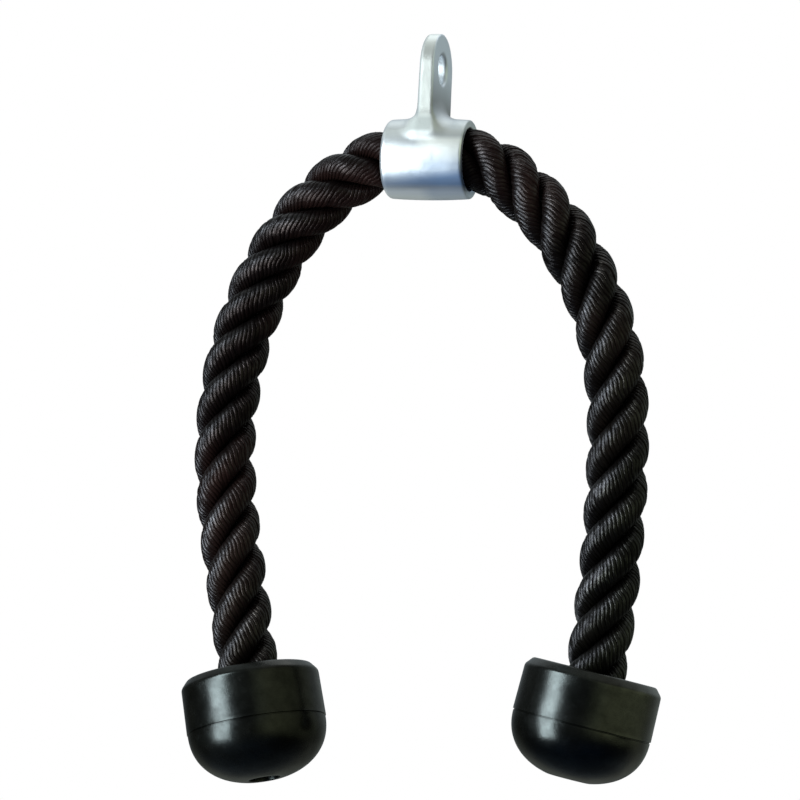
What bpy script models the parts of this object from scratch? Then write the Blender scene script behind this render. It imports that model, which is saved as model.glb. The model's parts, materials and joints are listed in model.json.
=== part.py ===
"""Triceps rope attachment for a cable machine.

A cast ferrule with an eye is crimped round the middle of one length of three-strand laid
rope, and each end of the rope is held in a moulded rubber stop by a crimp band, a washer and
a lag screw.

Lengths are in metres. The origin is the centre of the eye, +Z points up the object, +X runs
along the ferrule and +Y points away from the side that is looked at.
"""

import math

import bmesh
import bpy
import numpy as np
from mathutils import Matrix, Vector

# Fits
SEAT_CLEARANCE = 0.0003     # between two pieces that touch on the real object
WELD_DISTANCE = 0.00001

# Rope
ROPE_DIAMETER = 0.030
ROPE_STRANDS = 3
ROPE_LAY_LENGTH = 0.064     # length of rope in which a strand goes round once
STRAND_LAY_SHARE = 0.535    # a strand's centre from the rope's axis, of the rope's radius
RINGS_PER_LAY = 10
LOBE_POINTS = 7
LEFT_LAY_PHASE = math.radians(90)
RIGHT_LAY_PHASE = math.radians(47)

# Ferrule
SLEEVE_LENGTH = 0.0400
SLEEVE_WALL = 0.0044
SLEEVE_CROWN = 0.0007       # how much thicker the sleeve is at its middle than at its ends
SLEEVE_RIM_RADIUS = 0.0020
SLEEVE_MOUTH_RADIUS = 0.0009
SLEEVE_BODY_SHARES = (-0.5, 0.0, 0.5)
SLEEVE_STEPS = 44
EYE_DIAMETER = 0.0148
EYE_EDGE_RADIUS = 0.0013
EYE_TO_SLEEVE = 0.0242      # from the eye's centre down to the top of the sleeve
LUG_WALL = 0.0100           # metal round the eye
LUG_THICKNESS = 0.0068
LUG_DRAFT = math.radians(0.7)
LUG_EDGE_RADIUS = 0.0019
LUG_FILLET_RADIUS = 0.0088
LUG_FILLET_SINK = 0.0003    # how far the fillet runs on below the sleeve's surface
LUG_RAYS = 48
LUG_SIDE_SHARES = (0.35, 0.70, 1.0)
LUG_FLAT_MOST_SHARE = 0.70  # of a ray along the lug's side, before its fillet's points
LUG_FILLET_SHARES = (0.25, 0.48, 0.68, 0.84, 0.94)

# Stop
STOP_DIAMETER = 0.067
STOP_TOP_DIAMETER = 0.0662
STOP_SHOULDER_HEIGHT = 0.026
STOP_CHAMFER_WIDTH = 0.0033
STOP_CHAMFER_HEIGHT = 0.0039
STOP_ENTRY_EDGE = 0.0008
STOP_FLASH = 0.0003         # how far the mould's parting line stands out
STOP_FLASH_WIDTH = 0.0006
DOME_DEPTH = 0.0256         # from the parting line to the flat bottom
DOME_REACH = 0.0264         # to where the dome would end without the flat
DOME_POWER = 2.25           # 2 is an ellipse, more is squarer
DOME_POINTS = 8
STOP_STEPS = 36

# Rope end fixing, inside the stop
ENTRY_DEPTH = 0.012         # rope bore above the pocket that holds the band
BAND_LENGTH = 0.018
BAND_WALL = 0.0012
BAND_EDGE = 0.0004
BAND_STEPS = 28
RECESS_DEPTH = 0.010
WASHER_DIAMETER = 0.0138
WASHER_THICKNESS = 0.0016
WASHER_SIDE_CLEARANCE = 0.0006
WASHER_EDGE = 0.0003
LAG_SHANK_DIAMETER = 0.006
LAG_SHANK_LENGTH = 0.033
LAG_TIP_LENGTH = 0.006
LAG_TIP_DIAMETER = 0.0012
LAG_HEAD_ACROSS_FLATS = 0.010
LAG_HEAD_HEIGHT = 0.004
LAG_HEAD_CHAMFER = 0.0006
LAG_STEPS = 16

# Motion: each leg bends sideways at this distance along the rope from the ferrule's mouth
NECK_LENGTH = 0.041

# The rope's centre line from each mouth of the ferrule to the face of the stop, measured from
# the mouth: along the ferrule's axis outwards, towards the back, and up.
LEFT_ROUTE = (
    (0.0, 0.0, 0.0),
    (0.0066, 0.0, -0.0013),
    (0.0131, 0.0, -0.0045),
    (0.0196, 0.0, -0.0085),
    (0.0258, 0.0, -0.0126),
    (0.0314, 0.0, -0.0171),
    (0.0364, 0.0, -0.0219),
    (0.0457, 0.0, -0.0324),
    (0.0533, -0.0002, -0.0441),
    (0.0596, -0.0006, -0.0566),
    (0.0651, -0.0011, -0.0702),
    (0.0673, -0.0014, -0.0773),
    (0.0718, -0.0023, -0.0949),
    (0.0745, -0.0035, -0.1147),
    (0.0752, -0.0048, -0.1344),
    (0.0738, -0.0063, -0.1540),
    (0.0708, -0.0078, -0.1735),
    (0.0668, -0.0095, -0.1928),
    (0.0623, -0.0112, -0.2120),
    (0.0531, -0.0150, -0.2515),
)
RIGHT_ROUTE = (
    (0.0, 0.0, 0.0),
    (0.0066, 0.0, -0.0013),
    (0.0133, 0.0, -0.0048),
    (0.0199, 0.0, -0.0094),
    (0.0261, 0.0, -0.0143),
    (0.0316, 0.0, -0.0194),
    (0.0421, 0.0, -0.0296),
    (0.0508, 0.0001, -0.0412),
    (0.0582, 0.0005, -0.0536),
    (0.0648, 0.0010, -0.0667),
    (0.0702, 0.0016, -0.0811),
    (0.0747, 0.0026, -0.1000),
    (0.0770, 0.0038, -0.1188),
    (0.0776, 0.0051, -0.1377),
    (0.0775, 0.0065, -0.1566),
    (0.0768, 0.0077, -0.1755),
    (0.0758, 0.0087, -0.1944),
    (0.0742, 0.0094, -0.2133),
    (0.0707, 0.0095, -0.2430),
)
# How each stop leans from straight down: towards the other leg, and towards the front.
LEFT_STOP_INWARD = math.radians(13.9)
LEFT_STOP_FORWARD = math.radians(5)
RIGHT_STOP_INWARD = math.radians(11.2)
RIGHT_STOP_FORWARD = math.radians(2)

# Places that follow from the sizes above
ROPE_RADIUS = ROPE_DIAMETER / 2
ROPE_BORE_RADIUS = ROPE_RADIUS + SEAT_CLEARANCE
SLEEVE_RADIUS = ROPE_BORE_RADIUS + SLEEVE_WALL
EYE_RADIUS = EYE_DIAMETER / 2
LUG_HEAD_RADIUS = EYE_RADIUS + LUG_WALL
FERRULE_AXIS_Z = -(EYE_TO_SLEEVE + SLEEVE_RADIUS)
STOP_HEIGHT = STOP_SHOULDER_HEIGHT + DOME_DEPTH
POCKET_BOTTOM = ENTRY_DEPTH + BAND_LENGTH + 2 * SEAT_CLEARANCE
ROPE_SEAT_DEPTH = POCKET_BOTTOM - SEAT_CLEARANCE
SCREW_HOLE_RADIUS = LAG_SHANK_DIAMETER / 2 + SEAT_CLEARANCE


def clear_scene():
    for obj in list(bpy.data.objects):
        bpy.data.objects.remove(obj, do_unlink=True)


def new_collection(name):
    collection = bpy.data.collections.new(name)
    bpy.context.scene.collection.children.link(collection)
    return collection


def material(name, colour, roughness, metallic):
    made = bpy.data.materials.new(name)
    made.use_nodes = True
    shader = made.node_tree.nodes["Principled BSDF"]
    shader.inputs["Base Color"].default_value = (*colour, 1.0)
    shader.inputs["Roughness"].default_value = roughness
    shader.inputs["Metallic"].default_value = metallic
    return made


def helper(obj):
    """Keeps a cutter or guide out of the render and of the part."""
    obj.hide_render = True
    obj.display_type = "WIRE"
    return obj


def object_from(name, mesh, collection, finish=None):
    obj = bpy.data.objects.new(name, mesh)
    collection.objects.link(obj)
    if finish:
        mesh.materials.clear()
        mesh.materials.append(finish)
    return obj


def mesh_from_bmesh(name, bm):
    bmesh.ops.recalc_face_normals(bm, faces=bm.faces)
    mesh = bpy.data.meshes.new(name)
    bm.to_mesh(mesh)
    bm.free()
    return mesh


def shade_round(mesh, sharp_angle=math.radians(35)):
    mesh.shade_smooth()
    mesh.set_sharp_from_angle(angle=sharp_angle)


def around(radius, steps):
    """The radius of a turned shape of that many steps whose flats touch the given radius."""
    return radius / math.cos(math.pi / steps)


def arc(centre, radius, start_deg, end_deg, count):
    """Points on an arc in a turned profile, (r, z), both ends included."""
    angles = np.radians(np.linspace(start_deg, end_deg, count))
    return [(centre[0] + radius * math.cos(a), centre[1] + radius * math.sin(a)) for a in angles]


def turned(name, profile, steps, collection, finish=None, closed=True):
    """Turns an (r, z) profile round Z. It runs down its outer side."""
    count = len(profile)
    edges = [(i, (i + 1) % count) for i in range(count if closed else count - 1)]
    mesh = bpy.data.meshes.new(name)
    mesh.from_pydata([(r, 0.0, z) for r, z in profile], edges, [])
    obj = object_from(name, mesh, collection, finish)
    screw = obj.modifiers.new("Turn", "SCREW")
    screw.axis = "Z"
    screw.steps = screw.render_steps = steps
    screw.use_merge_vertices = True
    screw.merge_threshold = WELD_DISTANCE
    return obj


def boolean(obj, other, operation):
    cut = obj.modifiers.new(operation.title(), "BOOLEAN")
    cut.operation = operation
    cut.object = other
    cut.solver = "EXACT"


def applied(obj):
    """Replaces the object's mesh by what its modifiers make of it."""
    bpy.context.view_layer.update()
    graph = bpy.context.evaluated_depsgraph_get()
    mesh = bpy.data.meshes.new_from_object(obj.evaluated_get(graph))
    obj.modifiers.clear()
    obj.data = mesh
    return obj


def parent_to(obj, empty):
    """Hangs the object on the empty and leaves it where it is."""
    bpy.context.view_layer.update()
    obj.parent = empty
    obj.matrix_parent_inverse = empty.matrix_world.inverted()


# Ferrule

def sleeve_ring(name, collection):
    """The sleeve, turned about Z and laid along X: a crowned wall with rounded rims."""
    half = SLEEVE_LENGTH / 2
    end_radius = SLEEVE_RADIUS - SLEEVE_CROWN
    corner = end_radius - SLEEVE_RIM_RADIUS
    rim = half - SLEEVE_RIM_RADIUS
    mouth = around(ROPE_BORE_RADIUS, SLEEVE_STEPS) + SLEEVE_MOUTH_RADIUS
    lip = half - SLEEVE_MOUTH_RADIUS
    profile = arc((corner, rim), SLEEVE_RIM_RADIUS, 90, 0, 4)
    profile += [
        (SLEEVE_RADIUS - SLEEVE_CROWN * share**2, -rim * share) for share in SLEEVE_BODY_SHARES
    ]
    profile += arc((corner, -rim), SLEEVE_RIM_RADIUS, 0, -90, 4)
    profile += arc((mouth, -lip), SLEEVE_MOUTH_RADIUS, 270, 180, 3)
    profile += arc((mouth, lip), SLEEVE_MOUTH_RADIUS, 180, 90, 3)
    sleeve = turned(name, profile, SLEEVE_STEPS, collection)
    sleeve.location.z = FERRULE_AXIS_Z
    sleeve.rotation_euler.y = math.pi / 2
    return helper(sleeve)


def reach_to_circle(angles, radius):
    """How far from the eye's centre a ray at these angles from +Z meets a circle of that radius
    about the sleeve's axis. A ray that misses it reaches for ever."""
    drop = -FERRULE_AXIS_Z
    room = radius**2 - (drop * np.sin(angles)) ** 2
    meets = (room > 0) & (np.cos(angles) < 0)
    near = -drop * np.cos(angles) - np.sqrt(np.maximum(room, 0.0))
    return np.where(meets, near, np.inf)


def lug_reach(angles):
    """How far the lug goes along rays from the eye's centre at these angles from +Z.

    Its outline is the head's arc and two upright sides, and below it ends inside the wall of
    the sleeve, half way to the bore.
    """
    sideways = np.maximum(np.abs(np.sin(angles)), WELD_DISTANCE)
    outline = np.where(np.cos(angles) > 0, LUG_HEAD_RADIUS, LUG_HEAD_RADIUS / sideways)
    return np.minimum(outline, reach_to_circle(angles, SLEEVE_RADIUS - SLEEVE_WALL / 2))


def lug_half_thickness(y, z):
    """Half the lug's thickness, with its draft and the fillet that spreads it on the sleeve."""
    height = np.hypot(y, z - FERRULE_AXIS_Z) - SLEEVE_RADIUS + LUG_FILLET_SINK
    short = np.clip(LUG_FILLET_RADIUS - height, 0.0, LUG_FILLET_RADIUS)
    spread = LUG_FILLET_RADIUS - np.sqrt(LUG_FILLET_RADIUS**2 - short**2)
    draft = math.tan(LUG_DRAFT) * (LUG_HEAD_RADIUS - z)
    return LUG_THICKNESS / 2 + draft + spread


def eye_lug(name, collection):
    """The lug as one closed surface round the eye: a section loop carried round the eye.

    Each ray from the eye's centre carries the same loop of points, from the wall of the eye
    over its rounded edge, along the side, down the fillet, round the outer edge and back.
    """
    angles = np.linspace(-math.pi, math.pi, LUG_RAYS, endpoint=False)
    first = EYE_RADIUS + EYE_EDGE_RADIUS
    last = lug_reach(angles) - LUG_EDGE_RADIUS
    fillet_top = reach_to_circle(angles, SLEEVE_RADIUS + LUG_FILLET_RADIUS)
    flat = np.minimum(fillet_top - first, (last - first) * LUG_FLAT_MOST_SHARE)
    eye_turn = np.radians([0.0, 30.0, 60.0, 90.0])
    rim_turn = np.radians([90.0, 60.0, 30.0, 0.0])
    distance = [first - EYE_EDGE_RADIUS * math.cos(a) + 0 * last for a in eye_turn]
    distance += [first + flat * share for share in LUG_SIDE_SHARES]
    distance += [first + flat + (last - first - flat) * share for share in LUG_FILLET_SHARES]
    distance += [last + LUG_EDGE_RADIUS * math.cos(a) for a in rim_turn]
    inset = [EYE_EDGE_RADIUS * (1 - math.sin(a)) for a in eye_turn]
    inset += [0.0] * (len(LUG_SIDE_SHARES) + len(LUG_FILLET_SHARES))
    inset += [LUG_EDGE_RADIUS * (1 - math.sin(a)) for a in rim_turn]
    y = np.array(distance) * np.sin(angles)
    z = np.array(distance) * np.cos(angles)
    x = lug_half_thickness(y, z) - np.array(inset)[:, None]
    near = np.stack([x, y, z], axis=-1)
    loop = np.concatenate([near, near[::-1] * (-1.0, 1.0, 1.0)])
    rows, columns = loop.shape[:2]
    bm = bmesh.new()
    grid = [[bm.verts.new(point) for point in row] for row in loop]
    for i in range(rows):
        for j in range(columns):
            after, beside = (i + 1) % rows, (j + 1) % columns
            bm.faces.new((grid[i][j], grid[i][beside], grid[after][beside], grid[after][j]))
    return helper(object_from(name, mesh_from_bmesh(name, bm), collection))


def build_ferrule(parts, cutters, finish):
    """The casting: the eye's lug joined to the sleeve."""
    lug = eye_lug("eye_lug", cutters)
    ferrule = object_from("ferrule", lug.data.copy(), parts)
    boolean(ferrule, applied(sleeve_ring("sleeve_ring", cutters)), "UNION")
    applied(ferrule)
    ferrule.data.materials.clear()
    ferrule.data.materials.append(finish)
    shade_round(ferrule.data)
    return ferrule


# Rope

def clamped_spline(points, start, end, spacing):
    """Points a spacing apart on the cubic spline through the route that leaves along start and
    arrives along end. The slopes at the points solve the usual tridiagonal equations."""
    points = np.array(points)
    step = np.linalg.norm(np.diff(points, axis=0), axis=1)
    secant = np.diff(points, axis=0) / step[:, None]
    count = len(points)
    matrix = np.eye(count)
    right = np.zeros_like(points)
    right[0], right[-1] = start, end
    for i in range(1, count - 1):
        matrix[i, i - 1 : i + 2] = step[i], 2 * (step[i - 1] + step[i]), step[i - 1]
        right[i] = 3 * (step[i] * secant[i - 1] + step[i - 1] * secant[i])
    slope = np.linalg.solve(matrix, right)
    t = np.linspace(0.0, 1.0, 24, endpoint=False)[:, None]
    dense = [
        (1 + 2 * t) * (1 - t) ** 2 * points[i]
        + t * (1 - t) ** 2 * step[i] * slope[i]
        + t**2 * (3 - 2 * t) * points[i + 1]
        + t**2 * (t - 1) * step[i] * slope[i + 1]
        for i in range(count - 1)
    ]
    dense = np.concatenate([*dense, points[-1:]])
    along = np.concatenate([[0.0], np.cumsum(np.linalg.norm(np.diff(dense, axis=0), axis=1))])
    wanted = np.linspace(0.0, along[-1], max(2, round(along[-1] / spacing) + 1))
    return np.stack([np.interp(wanted, along, dense[:, k]) for k in range(3)], axis=1)


def strand_profile(collection):
    """The section of one strand, pressed against its neighbours, as a closed 2D guide curve.

    Its outside is an ellipse, because the strand crosses the section at the lay angle. Its two
    walls lie along the planes between the strands, and its inside leaves the rope's heart open.
    """
    lay_radius = ROPE_RADIUS * STRAND_LAY_SHARE
    lay_angle = math.atan(math.tau * lay_radius / ROPE_LAY_LENGTH)
    thick = ROPE_RADIUS - lay_radius
    wide = thick / math.cos(lay_angle)
    sector = math.pi / ROPE_STRANDS
    ring_turn = math.tau / RINGS_PER_LAY
    heart = SCREW_HOLE_RADIUS / math.cos(sector / 2) / math.cos(ring_turn / 2)

    def ellipse(angle):
        c, s = math.cos(angle), math.sin(angle)
        a = (c / thick) ** 2 + (s / wide) ** 2
        b = lay_radius * c / thick**2
        return (b + math.sqrt(b * b - a * ((lay_radius / thick) ** 2 - 1))) / a

    def wall_angle(radius):
        return sector - math.asin(SEAT_CLEARANCE / 2 / radius)

    groove = ellipse(sector)
    edge = wall_angle(groove)
    outline = [(groove, -edge)]
    outline += [(ellipse(a), a) for a in np.linspace(-edge, edge, LOBE_POINTS)[1:-1]]
    outline += [(groove, edge), (heart, wall_angle(heart)), (heart, 0.0)]
    outline += [(heart, -wall_angle(heart))]
    curve = bpy.data.curves.new("strand_section", "CURVE")
    curve.dimensions = "2D"
    spline = curve.splines.new("POLY")
    spline.points.add(len(outline) - 1)
    for point, (radius, angle) in zip(spline.points, outline):
        point.co = (radius * math.cos(angle), radius * math.sin(angle), 0.0, 1.0)
    spline.use_cyclic_u = True
    section = bpy.data.objects.new("strand_section", curve)
    collection.objects.link(section)
    return helper(section), len(outline)


def strand_mesh(line, section, sides, phase, collection):
    """One strand from end to end: the section carried along the line and turned by the lay."""
    curve = bpy.data.curves.new("strand", "CURVE")
    curve.dimensions = "3D"
    curve.twist_mode = "MINIMUM"
    curve.bevel_mode = "OBJECT"
    curve.bevel_object = section
    curve.use_fill_caps = True
    spline = curve.splines.new("POLY")
    spline.points.add(len(line) - 1)
    along = np.concatenate([[0.0], np.cumsum(np.linalg.norm(np.diff(line, axis=0), axis=1))])
    for point, place, distance in zip(spline.points, line, along):
        point.co = (*place, 1.0)
        point.tilt = phase + math.tau * distance / ROPE_LAY_LENGTH
    guide = bpy.data.objects.new("strand", curve)
    collection.objects.link(guide)
    bpy.context.view_layer.update()
    graph = bpy.context.evaluated_depsgraph_get()
    mesh = bpy.data.meshes.new_from_object(guide.evaluated_get(graph))
    bpy.data.objects.remove(guide, do_unlink=True)
    bm = bmesh.new()
    bm.from_mesh(mesh)
    bpy.data.meshes.remove(mesh)
    split_walls(bm, sides)
    bmesh.ops.triangulate(bm, faces=bm.faces, quad_method="SHORT_EDGE")
    bmesh.ops.remove_doubles(bm, verts=bm.verts, dist=WELD_DISTANCE)
    return bm


def split_walls(bm, sides):
    """Splits each face of a strand's two walls from its outer corner on one ring to its inner
    corner on the next. The walls of two neighbours face each other across the seat clearance,
    and with the same diagonals their facets never cross."""
    caps = 2 * sides
    outer_to_inner = {(0, sides - 1), (LOBE_POINTS - 1, LOBE_POINTS)}
    for face in [f for f in bm.faces if len(f.verts) == 4]:
        corner = {divmod(v.index - caps, sides): v for v in face.verts}
        ring = min(k for k, _ in corner)
        for outer, inner in outer_to_inner:
            if (ring, outer) in corner and (ring + 1, inner) in corner:
                bmesh.utils.face_split(face, corner[ring, outer], corner[ring + 1, inner])


def cut_off(bm, place, direction):
    """Keeps what lies before the plane at the place, and closes the cut."""
    geometry = [*bm.verts, *bm.edges, *bm.faces]
    bmesh.ops.bisect_plane(
        bm, geom=geometry, plane_co=place, plane_no=direction, clear_outer=True
    )
    bmesh.ops.contextual_create(bm, geom=[e for e in bm.edges if e.is_boundary])
    return bm


def rope_line(side, route, stop_direction):
    """The rope's centre line from the middle of the ferrule to the end of the rope."""
    spacing = ROPE_LAY_LENGTH / RINGS_PER_LAY
    mouth = Vector((side * SLEEVE_LENGTH / 2, 0.0, FERRULE_AXIS_Z))
    start = Vector((side * SEAT_CLEARANCE / 2, 0.0, FERRULE_AXIS_Z))
    places = [mouth + Vector((side * out, back, up)) for out, back, up in route]
    free = clamped_spline(places, (side, 0.0, 0.0), stop_direction, spacing)
    face = Vector(places[-1])
    inside = [start.lerp(mouth, share) for share in np.linspace(0.0, 1.0, 4)[:-1]]
    rings = max(2, round(ROPE_SEAT_DEPTH / spacing))
    seated = [face + stop_direction * ROPE_SEAT_DEPTH * k / rings for k in range(1, rings + 1)]
    return np.concatenate([np.array(inside), free, np.array(seated)]), face


def along_line(line, distance):
    """The place on the line at that distance from its start, and the line's direction there."""
    steps = np.diff(line, axis=0)
    along = np.concatenate([[0.0], np.cumsum(np.linalg.norm(steps, axis=1))])
    k = int(np.searchsorted(along, distance)) - 1
    direction = Vector(steps[k]).normalized()
    return Vector(line[k]) + direction * (distance - along[k]), direction


def build_rope(name, line, phase, parts, cutters, finish):
    """The strands of one side of the rope, each parted where the leg starts to bend sideways.

    Returns the neck's strands, the leg's strands and the place of the bend.
    """
    bend, direction = along_line(line, SLEEVE_LENGTH / 2 + NECK_LENGTH)
    half_gap = direction * SEAT_CLEARANCE / 2
    section, sides = strand_profile(cutters)
    necks, legs = [], []
    for number in range(ROPE_STRANDS):
        strand_phase = phase + math.tau * number / ROPE_STRANDS
        bm = strand_mesh(line, section, sides, strand_phase, cutters)
        neck = cut_off(bm.copy(), bend - half_gap, direction)
        leg = cut_off(bm, bend + half_gap, -direction)
        for kind, piece, group in (("neck", neck, necks), ("leg", leg, legs)):
            title = f"{name}_{kind}_strand_{number + 1}"
            obj = object_from(title, mesh_from_bmesh(title, piece), parts, finish)
            shade_round(obj.data)
            group.append(obj)
    return necks, legs, bend


# Stop and rope end fixing, each modelled with Z up and the stop's top face at zero

def dome_profile():
    """The dome from the parting line down to its flat bottom, part of a superellipse."""
    radius = STOP_DIAMETER / 2
    last = math.asin((DOME_DEPTH / DOME_REACH) ** (DOME_POWER / 2))
    turns = np.linspace(0.0, last, DOME_POINTS)
    return [
        (
            radius * math.cos(a) ** (2 / DOME_POWER),
            -STOP_SHOULDER_HEIGHT - DOME_REACH * math.sin(a) ** (2 / DOME_POWER),
        )
        for a in turns
    ]


def build_stop(name, parts, finish):
    """The moulded stop, hollow for the rope's end, its band, and the screw that holds it."""
    top = STOP_TOP_DIAMETER / 2
    entry = around(ROPE_BORE_RADIUS, STOP_STEPS)
    pocket = around(ROPE_BORE_RADIUS + BAND_WALL + SEAT_CLEARANCE, STOP_STEPS)
    screw_hole = around(SCREW_HOLE_RADIUS, STOP_STEPS)
    recess = WASHER_DIAMETER / 2 + WASHER_SIDE_CLEARANCE
    flash = STOP_DIAMETER / 2 + STOP_FLASH
    outside = [
        (entry + STOP_ENTRY_EDGE, 0.0),
        (top - STOP_CHAMFER_WIDTH, 0.0),
        (top, -STOP_CHAMFER_HEIGHT),
        (STOP_DIAMETER / 2, -STOP_SHOULDER_HEIGHT + STOP_FLASH_WIDTH / 2),
        (flash, -STOP_SHOULDER_HEIGHT),
    ]
    inside = [
        (recess, -STOP_HEIGHT),
        (recess, -STOP_HEIGHT + RECESS_DEPTH),
        (screw_hole, -STOP_HEIGHT + RECESS_DEPTH),
        (screw_hole, -POCKET_BOTTOM),
        (pocket, -POCKET_BOTTOM),
        (pocket, -ENTRY_DEPTH),
        (entry, -ENTRY_DEPTH),
        (entry, -STOP_ENTRY_EDGE),
    ]
    stop = turned(name, outside + dome_profile()[1:] + inside, STOP_STEPS, parts, finish)
    applied(stop)
    shade_round(stop.data)
    return stop


def build_band(name, parts, finish):
    inner = around(ROPE_BORE_RADIUS, BAND_STEPS)
    outer = ROPE_BORE_RADIUS + BAND_WALL
    high = -ENTRY_DEPTH - SEAT_CLEARANCE
    low = high - BAND_LENGTH
    profile = [
        (inner, high),
        (outer - BAND_EDGE, high),
        (outer, high - BAND_EDGE),
        (outer, low + BAND_EDGE),
        (outer - BAND_EDGE, low),
        (inner, low),
    ]
    band = turned(name, profile, BAND_STEPS, parts, finish)
    applied(band)
    shade_round(band.data)
    return band


def build_washer(name, parts, finish):
    high = -STOP_HEIGHT + RECESS_DEPTH - SEAT_CLEARANCE
    low = high - WASHER_THICKNESS
    hole = around(SCREW_HOLE_RADIUS, LAG_STEPS)
    outer = WASHER_DIAMETER / 2
    profile = [
        (hole, high),
        (outer - WASHER_EDGE, high),
        (outer, high - WASHER_EDGE),
        (outer, low + WASHER_EDGE),
        (outer - WASHER_EDGE, low),
        (hole, low),
    ]
    washer = turned(name, profile, LAG_STEPS * 2, parts, finish)
    applied(washer)
    shade_round(washer.data)
    return washer


def build_lag_screw(name, parts, cutters, finish):
    """A lag screw, head down: its shank runs up into the open heart of the rope."""
    seat = -STOP_HEIGHT + RECESS_DEPTH - WASHER_THICKNESS - 2 * SEAT_CLEARANCE
    shank = LAG_SHANK_DIAMETER / 2
    tip = seat + LAG_SHANK_LENGTH
    profile = [
        (0.0, tip),
        (LAG_TIP_DIAMETER / 2, tip),
        (shank, tip - LAG_TIP_LENGTH),
        (shank, seat - LAG_HEAD_HEIGHT / 2),
        (0.0, seat - LAG_HEAD_HEIGHT / 2),
    ]
    screw = applied(turned(name, profile, LAG_STEPS, parts, finish, closed=False))
    corner = LAG_HEAD_ACROSS_FLATS / 2 / math.cos(math.pi / 6)
    bm = bmesh.new()
    bmesh.ops.create_cone(
        bm, cap_ends=True, segments=6, radius1=corner, radius2=corner, depth=LAG_HEAD_HEIGHT
    )
    bmesh.ops.translate(bm, verts=bm.verts, vec=(0.0, 0.0, seat - LAG_HEAD_HEIGHT / 2))
    lower = [e for e in bm.edges if all(v.co.z < seat - LAG_HEAD_HEIGHT / 2 for v in e.verts)]
    bmesh.ops.bevel(bm, geom=lower, offset=LAG_HEAD_CHAMFER, segments=1, affect="EDGES")
    head = helper(object_from(name + "_head", mesh_from_bmesh(name + "_head", bm), cutters))
    boolean(screw, head, "UNION")
    applied(screw)
    screw.data.materials.clear()
    screw.data.materials.append(finish)
    shade_round(screw.data)
    return screw


def joint_empty(name, place, parent=None):
    empty = bpy.data.objects.new(name, None)
    bpy.context.scene.collection.objects.link(empty)
    empty.location = place
    if parent:
        parent_to(empty, parent)
    return empty


def build_side(name, side, route, lean, phase, finishes, parts, cutters):
    """One half of the rope with the stop on its end, hung on the two joints that move it."""
    inward, forward = lean
    direction = Vector((-side * math.tan(inward), -math.tan(forward), -1.0)).normalized()
    line, face = rope_line(side, route, direction)
    necks, legs, bend = build_rope(name, line, phase, parts, cutters, finishes["rope"])
    end_pieces = [
        build_stop(f"{name}_stop", parts, finishes["rubber"]),
        build_band(f"{name}_crimp_band", parts, finishes["steel"]),
        build_washer(f"{name}_washer", parts, finishes["steel"]),
        build_lag_screw(f"{name}_lag_screw", parts, cutters, finishes["steel"]),
    ]
    turn = direction.to_track_quat("-Z", "Y").to_matrix().to_4x4()
    for piece in end_pieces:
        piece.matrix_world = Matrix.Translation(face) @ turn
    swing = joint_empty(f"{name}_swing_axis", (0.0, 0.0, FERRULE_AXIS_Z))
    spread = joint_empty(f"{name}_spread_axis", bend, swing)
    for piece in necks:
        parent_to(piece, swing)
    for piece in legs + end_pieces:
        parent_to(piece, spread)
    length = np.linalg.norm(np.diff(line, axis=0), axis=1).sum() - SLEEVE_LENGTH / 2
    print(f"{name}: bend at {tuple(round(c, 5) for c in bend)}, rope from mouth {length:.4f}")


def main():
    clear_scene()
    parts = new_collection("triceps_rope_attachment")
    cutters = new_collection("cutters_and_guides")
    cast = material("cast_aluminium", (0.55, 0.57, 0.60), 0.35, 1.0)
    finishes = {
        "rope": material("black_laid_rope", (0.012, 0.012, 0.013), 0.75, 0.0),
        "rubber": material("black_moulded_rubber", (0.018, 0.018, 0.017), 0.45, 0.0),
        "steel": material("zinc_plated_steel", (0.50, 0.51, 0.52), 0.40, 1.0),
    }
    build_ferrule(parts, cutters, cast)
    left_lean = (LEFT_STOP_INWARD, LEFT_STOP_FORWARD)
    right_lean = (RIGHT_STOP_INWARD, RIGHT_STOP_FORWARD)
    build_side("left", -1, LEFT_ROUTE, left_lean, LEFT_LAY_PHASE, finishes, parts, cutters)
    build_side("right", 1, RIGHT_ROUTE, right_lean, RIGHT_LAY_PHASE, finishes, parts, cutters)


main()
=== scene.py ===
"""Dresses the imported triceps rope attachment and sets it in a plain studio.

Lengths are in metres in the frame of the CAD model: the origin is the centre of the eye, +Z is
up, +X runs along the ferrule and -Y faces the camera.
"""

import json
import logging
import math
from dataclasses import dataclass
from enum import Enum
from typing import Callable, Optional, Sequence

import bpy
import numpy as np
from mathutils import Matrix, Vector


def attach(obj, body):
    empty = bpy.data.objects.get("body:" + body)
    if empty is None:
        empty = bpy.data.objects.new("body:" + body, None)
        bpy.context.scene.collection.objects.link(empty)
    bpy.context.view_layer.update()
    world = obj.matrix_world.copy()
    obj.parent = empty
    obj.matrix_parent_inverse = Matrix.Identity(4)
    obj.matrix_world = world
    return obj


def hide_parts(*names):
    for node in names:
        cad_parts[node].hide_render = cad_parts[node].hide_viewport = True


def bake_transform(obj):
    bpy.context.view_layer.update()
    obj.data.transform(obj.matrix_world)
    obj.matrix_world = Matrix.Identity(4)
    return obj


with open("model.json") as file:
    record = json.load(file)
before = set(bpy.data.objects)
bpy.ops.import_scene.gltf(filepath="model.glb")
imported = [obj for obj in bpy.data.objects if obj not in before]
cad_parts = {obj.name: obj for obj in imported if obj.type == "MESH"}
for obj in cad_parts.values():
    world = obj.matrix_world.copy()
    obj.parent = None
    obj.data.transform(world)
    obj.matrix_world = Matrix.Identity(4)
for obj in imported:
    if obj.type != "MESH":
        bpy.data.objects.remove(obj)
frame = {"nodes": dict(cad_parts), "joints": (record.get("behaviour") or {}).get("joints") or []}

logging.basicConfig(level=logging.INFO, format="%(levelname)s %(message)s")
log = logging.getLogger("triceps_rope")

Socket = bpy.types.NodeSocket
Field = Callable[[np.ndarray], np.ndarray]

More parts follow.
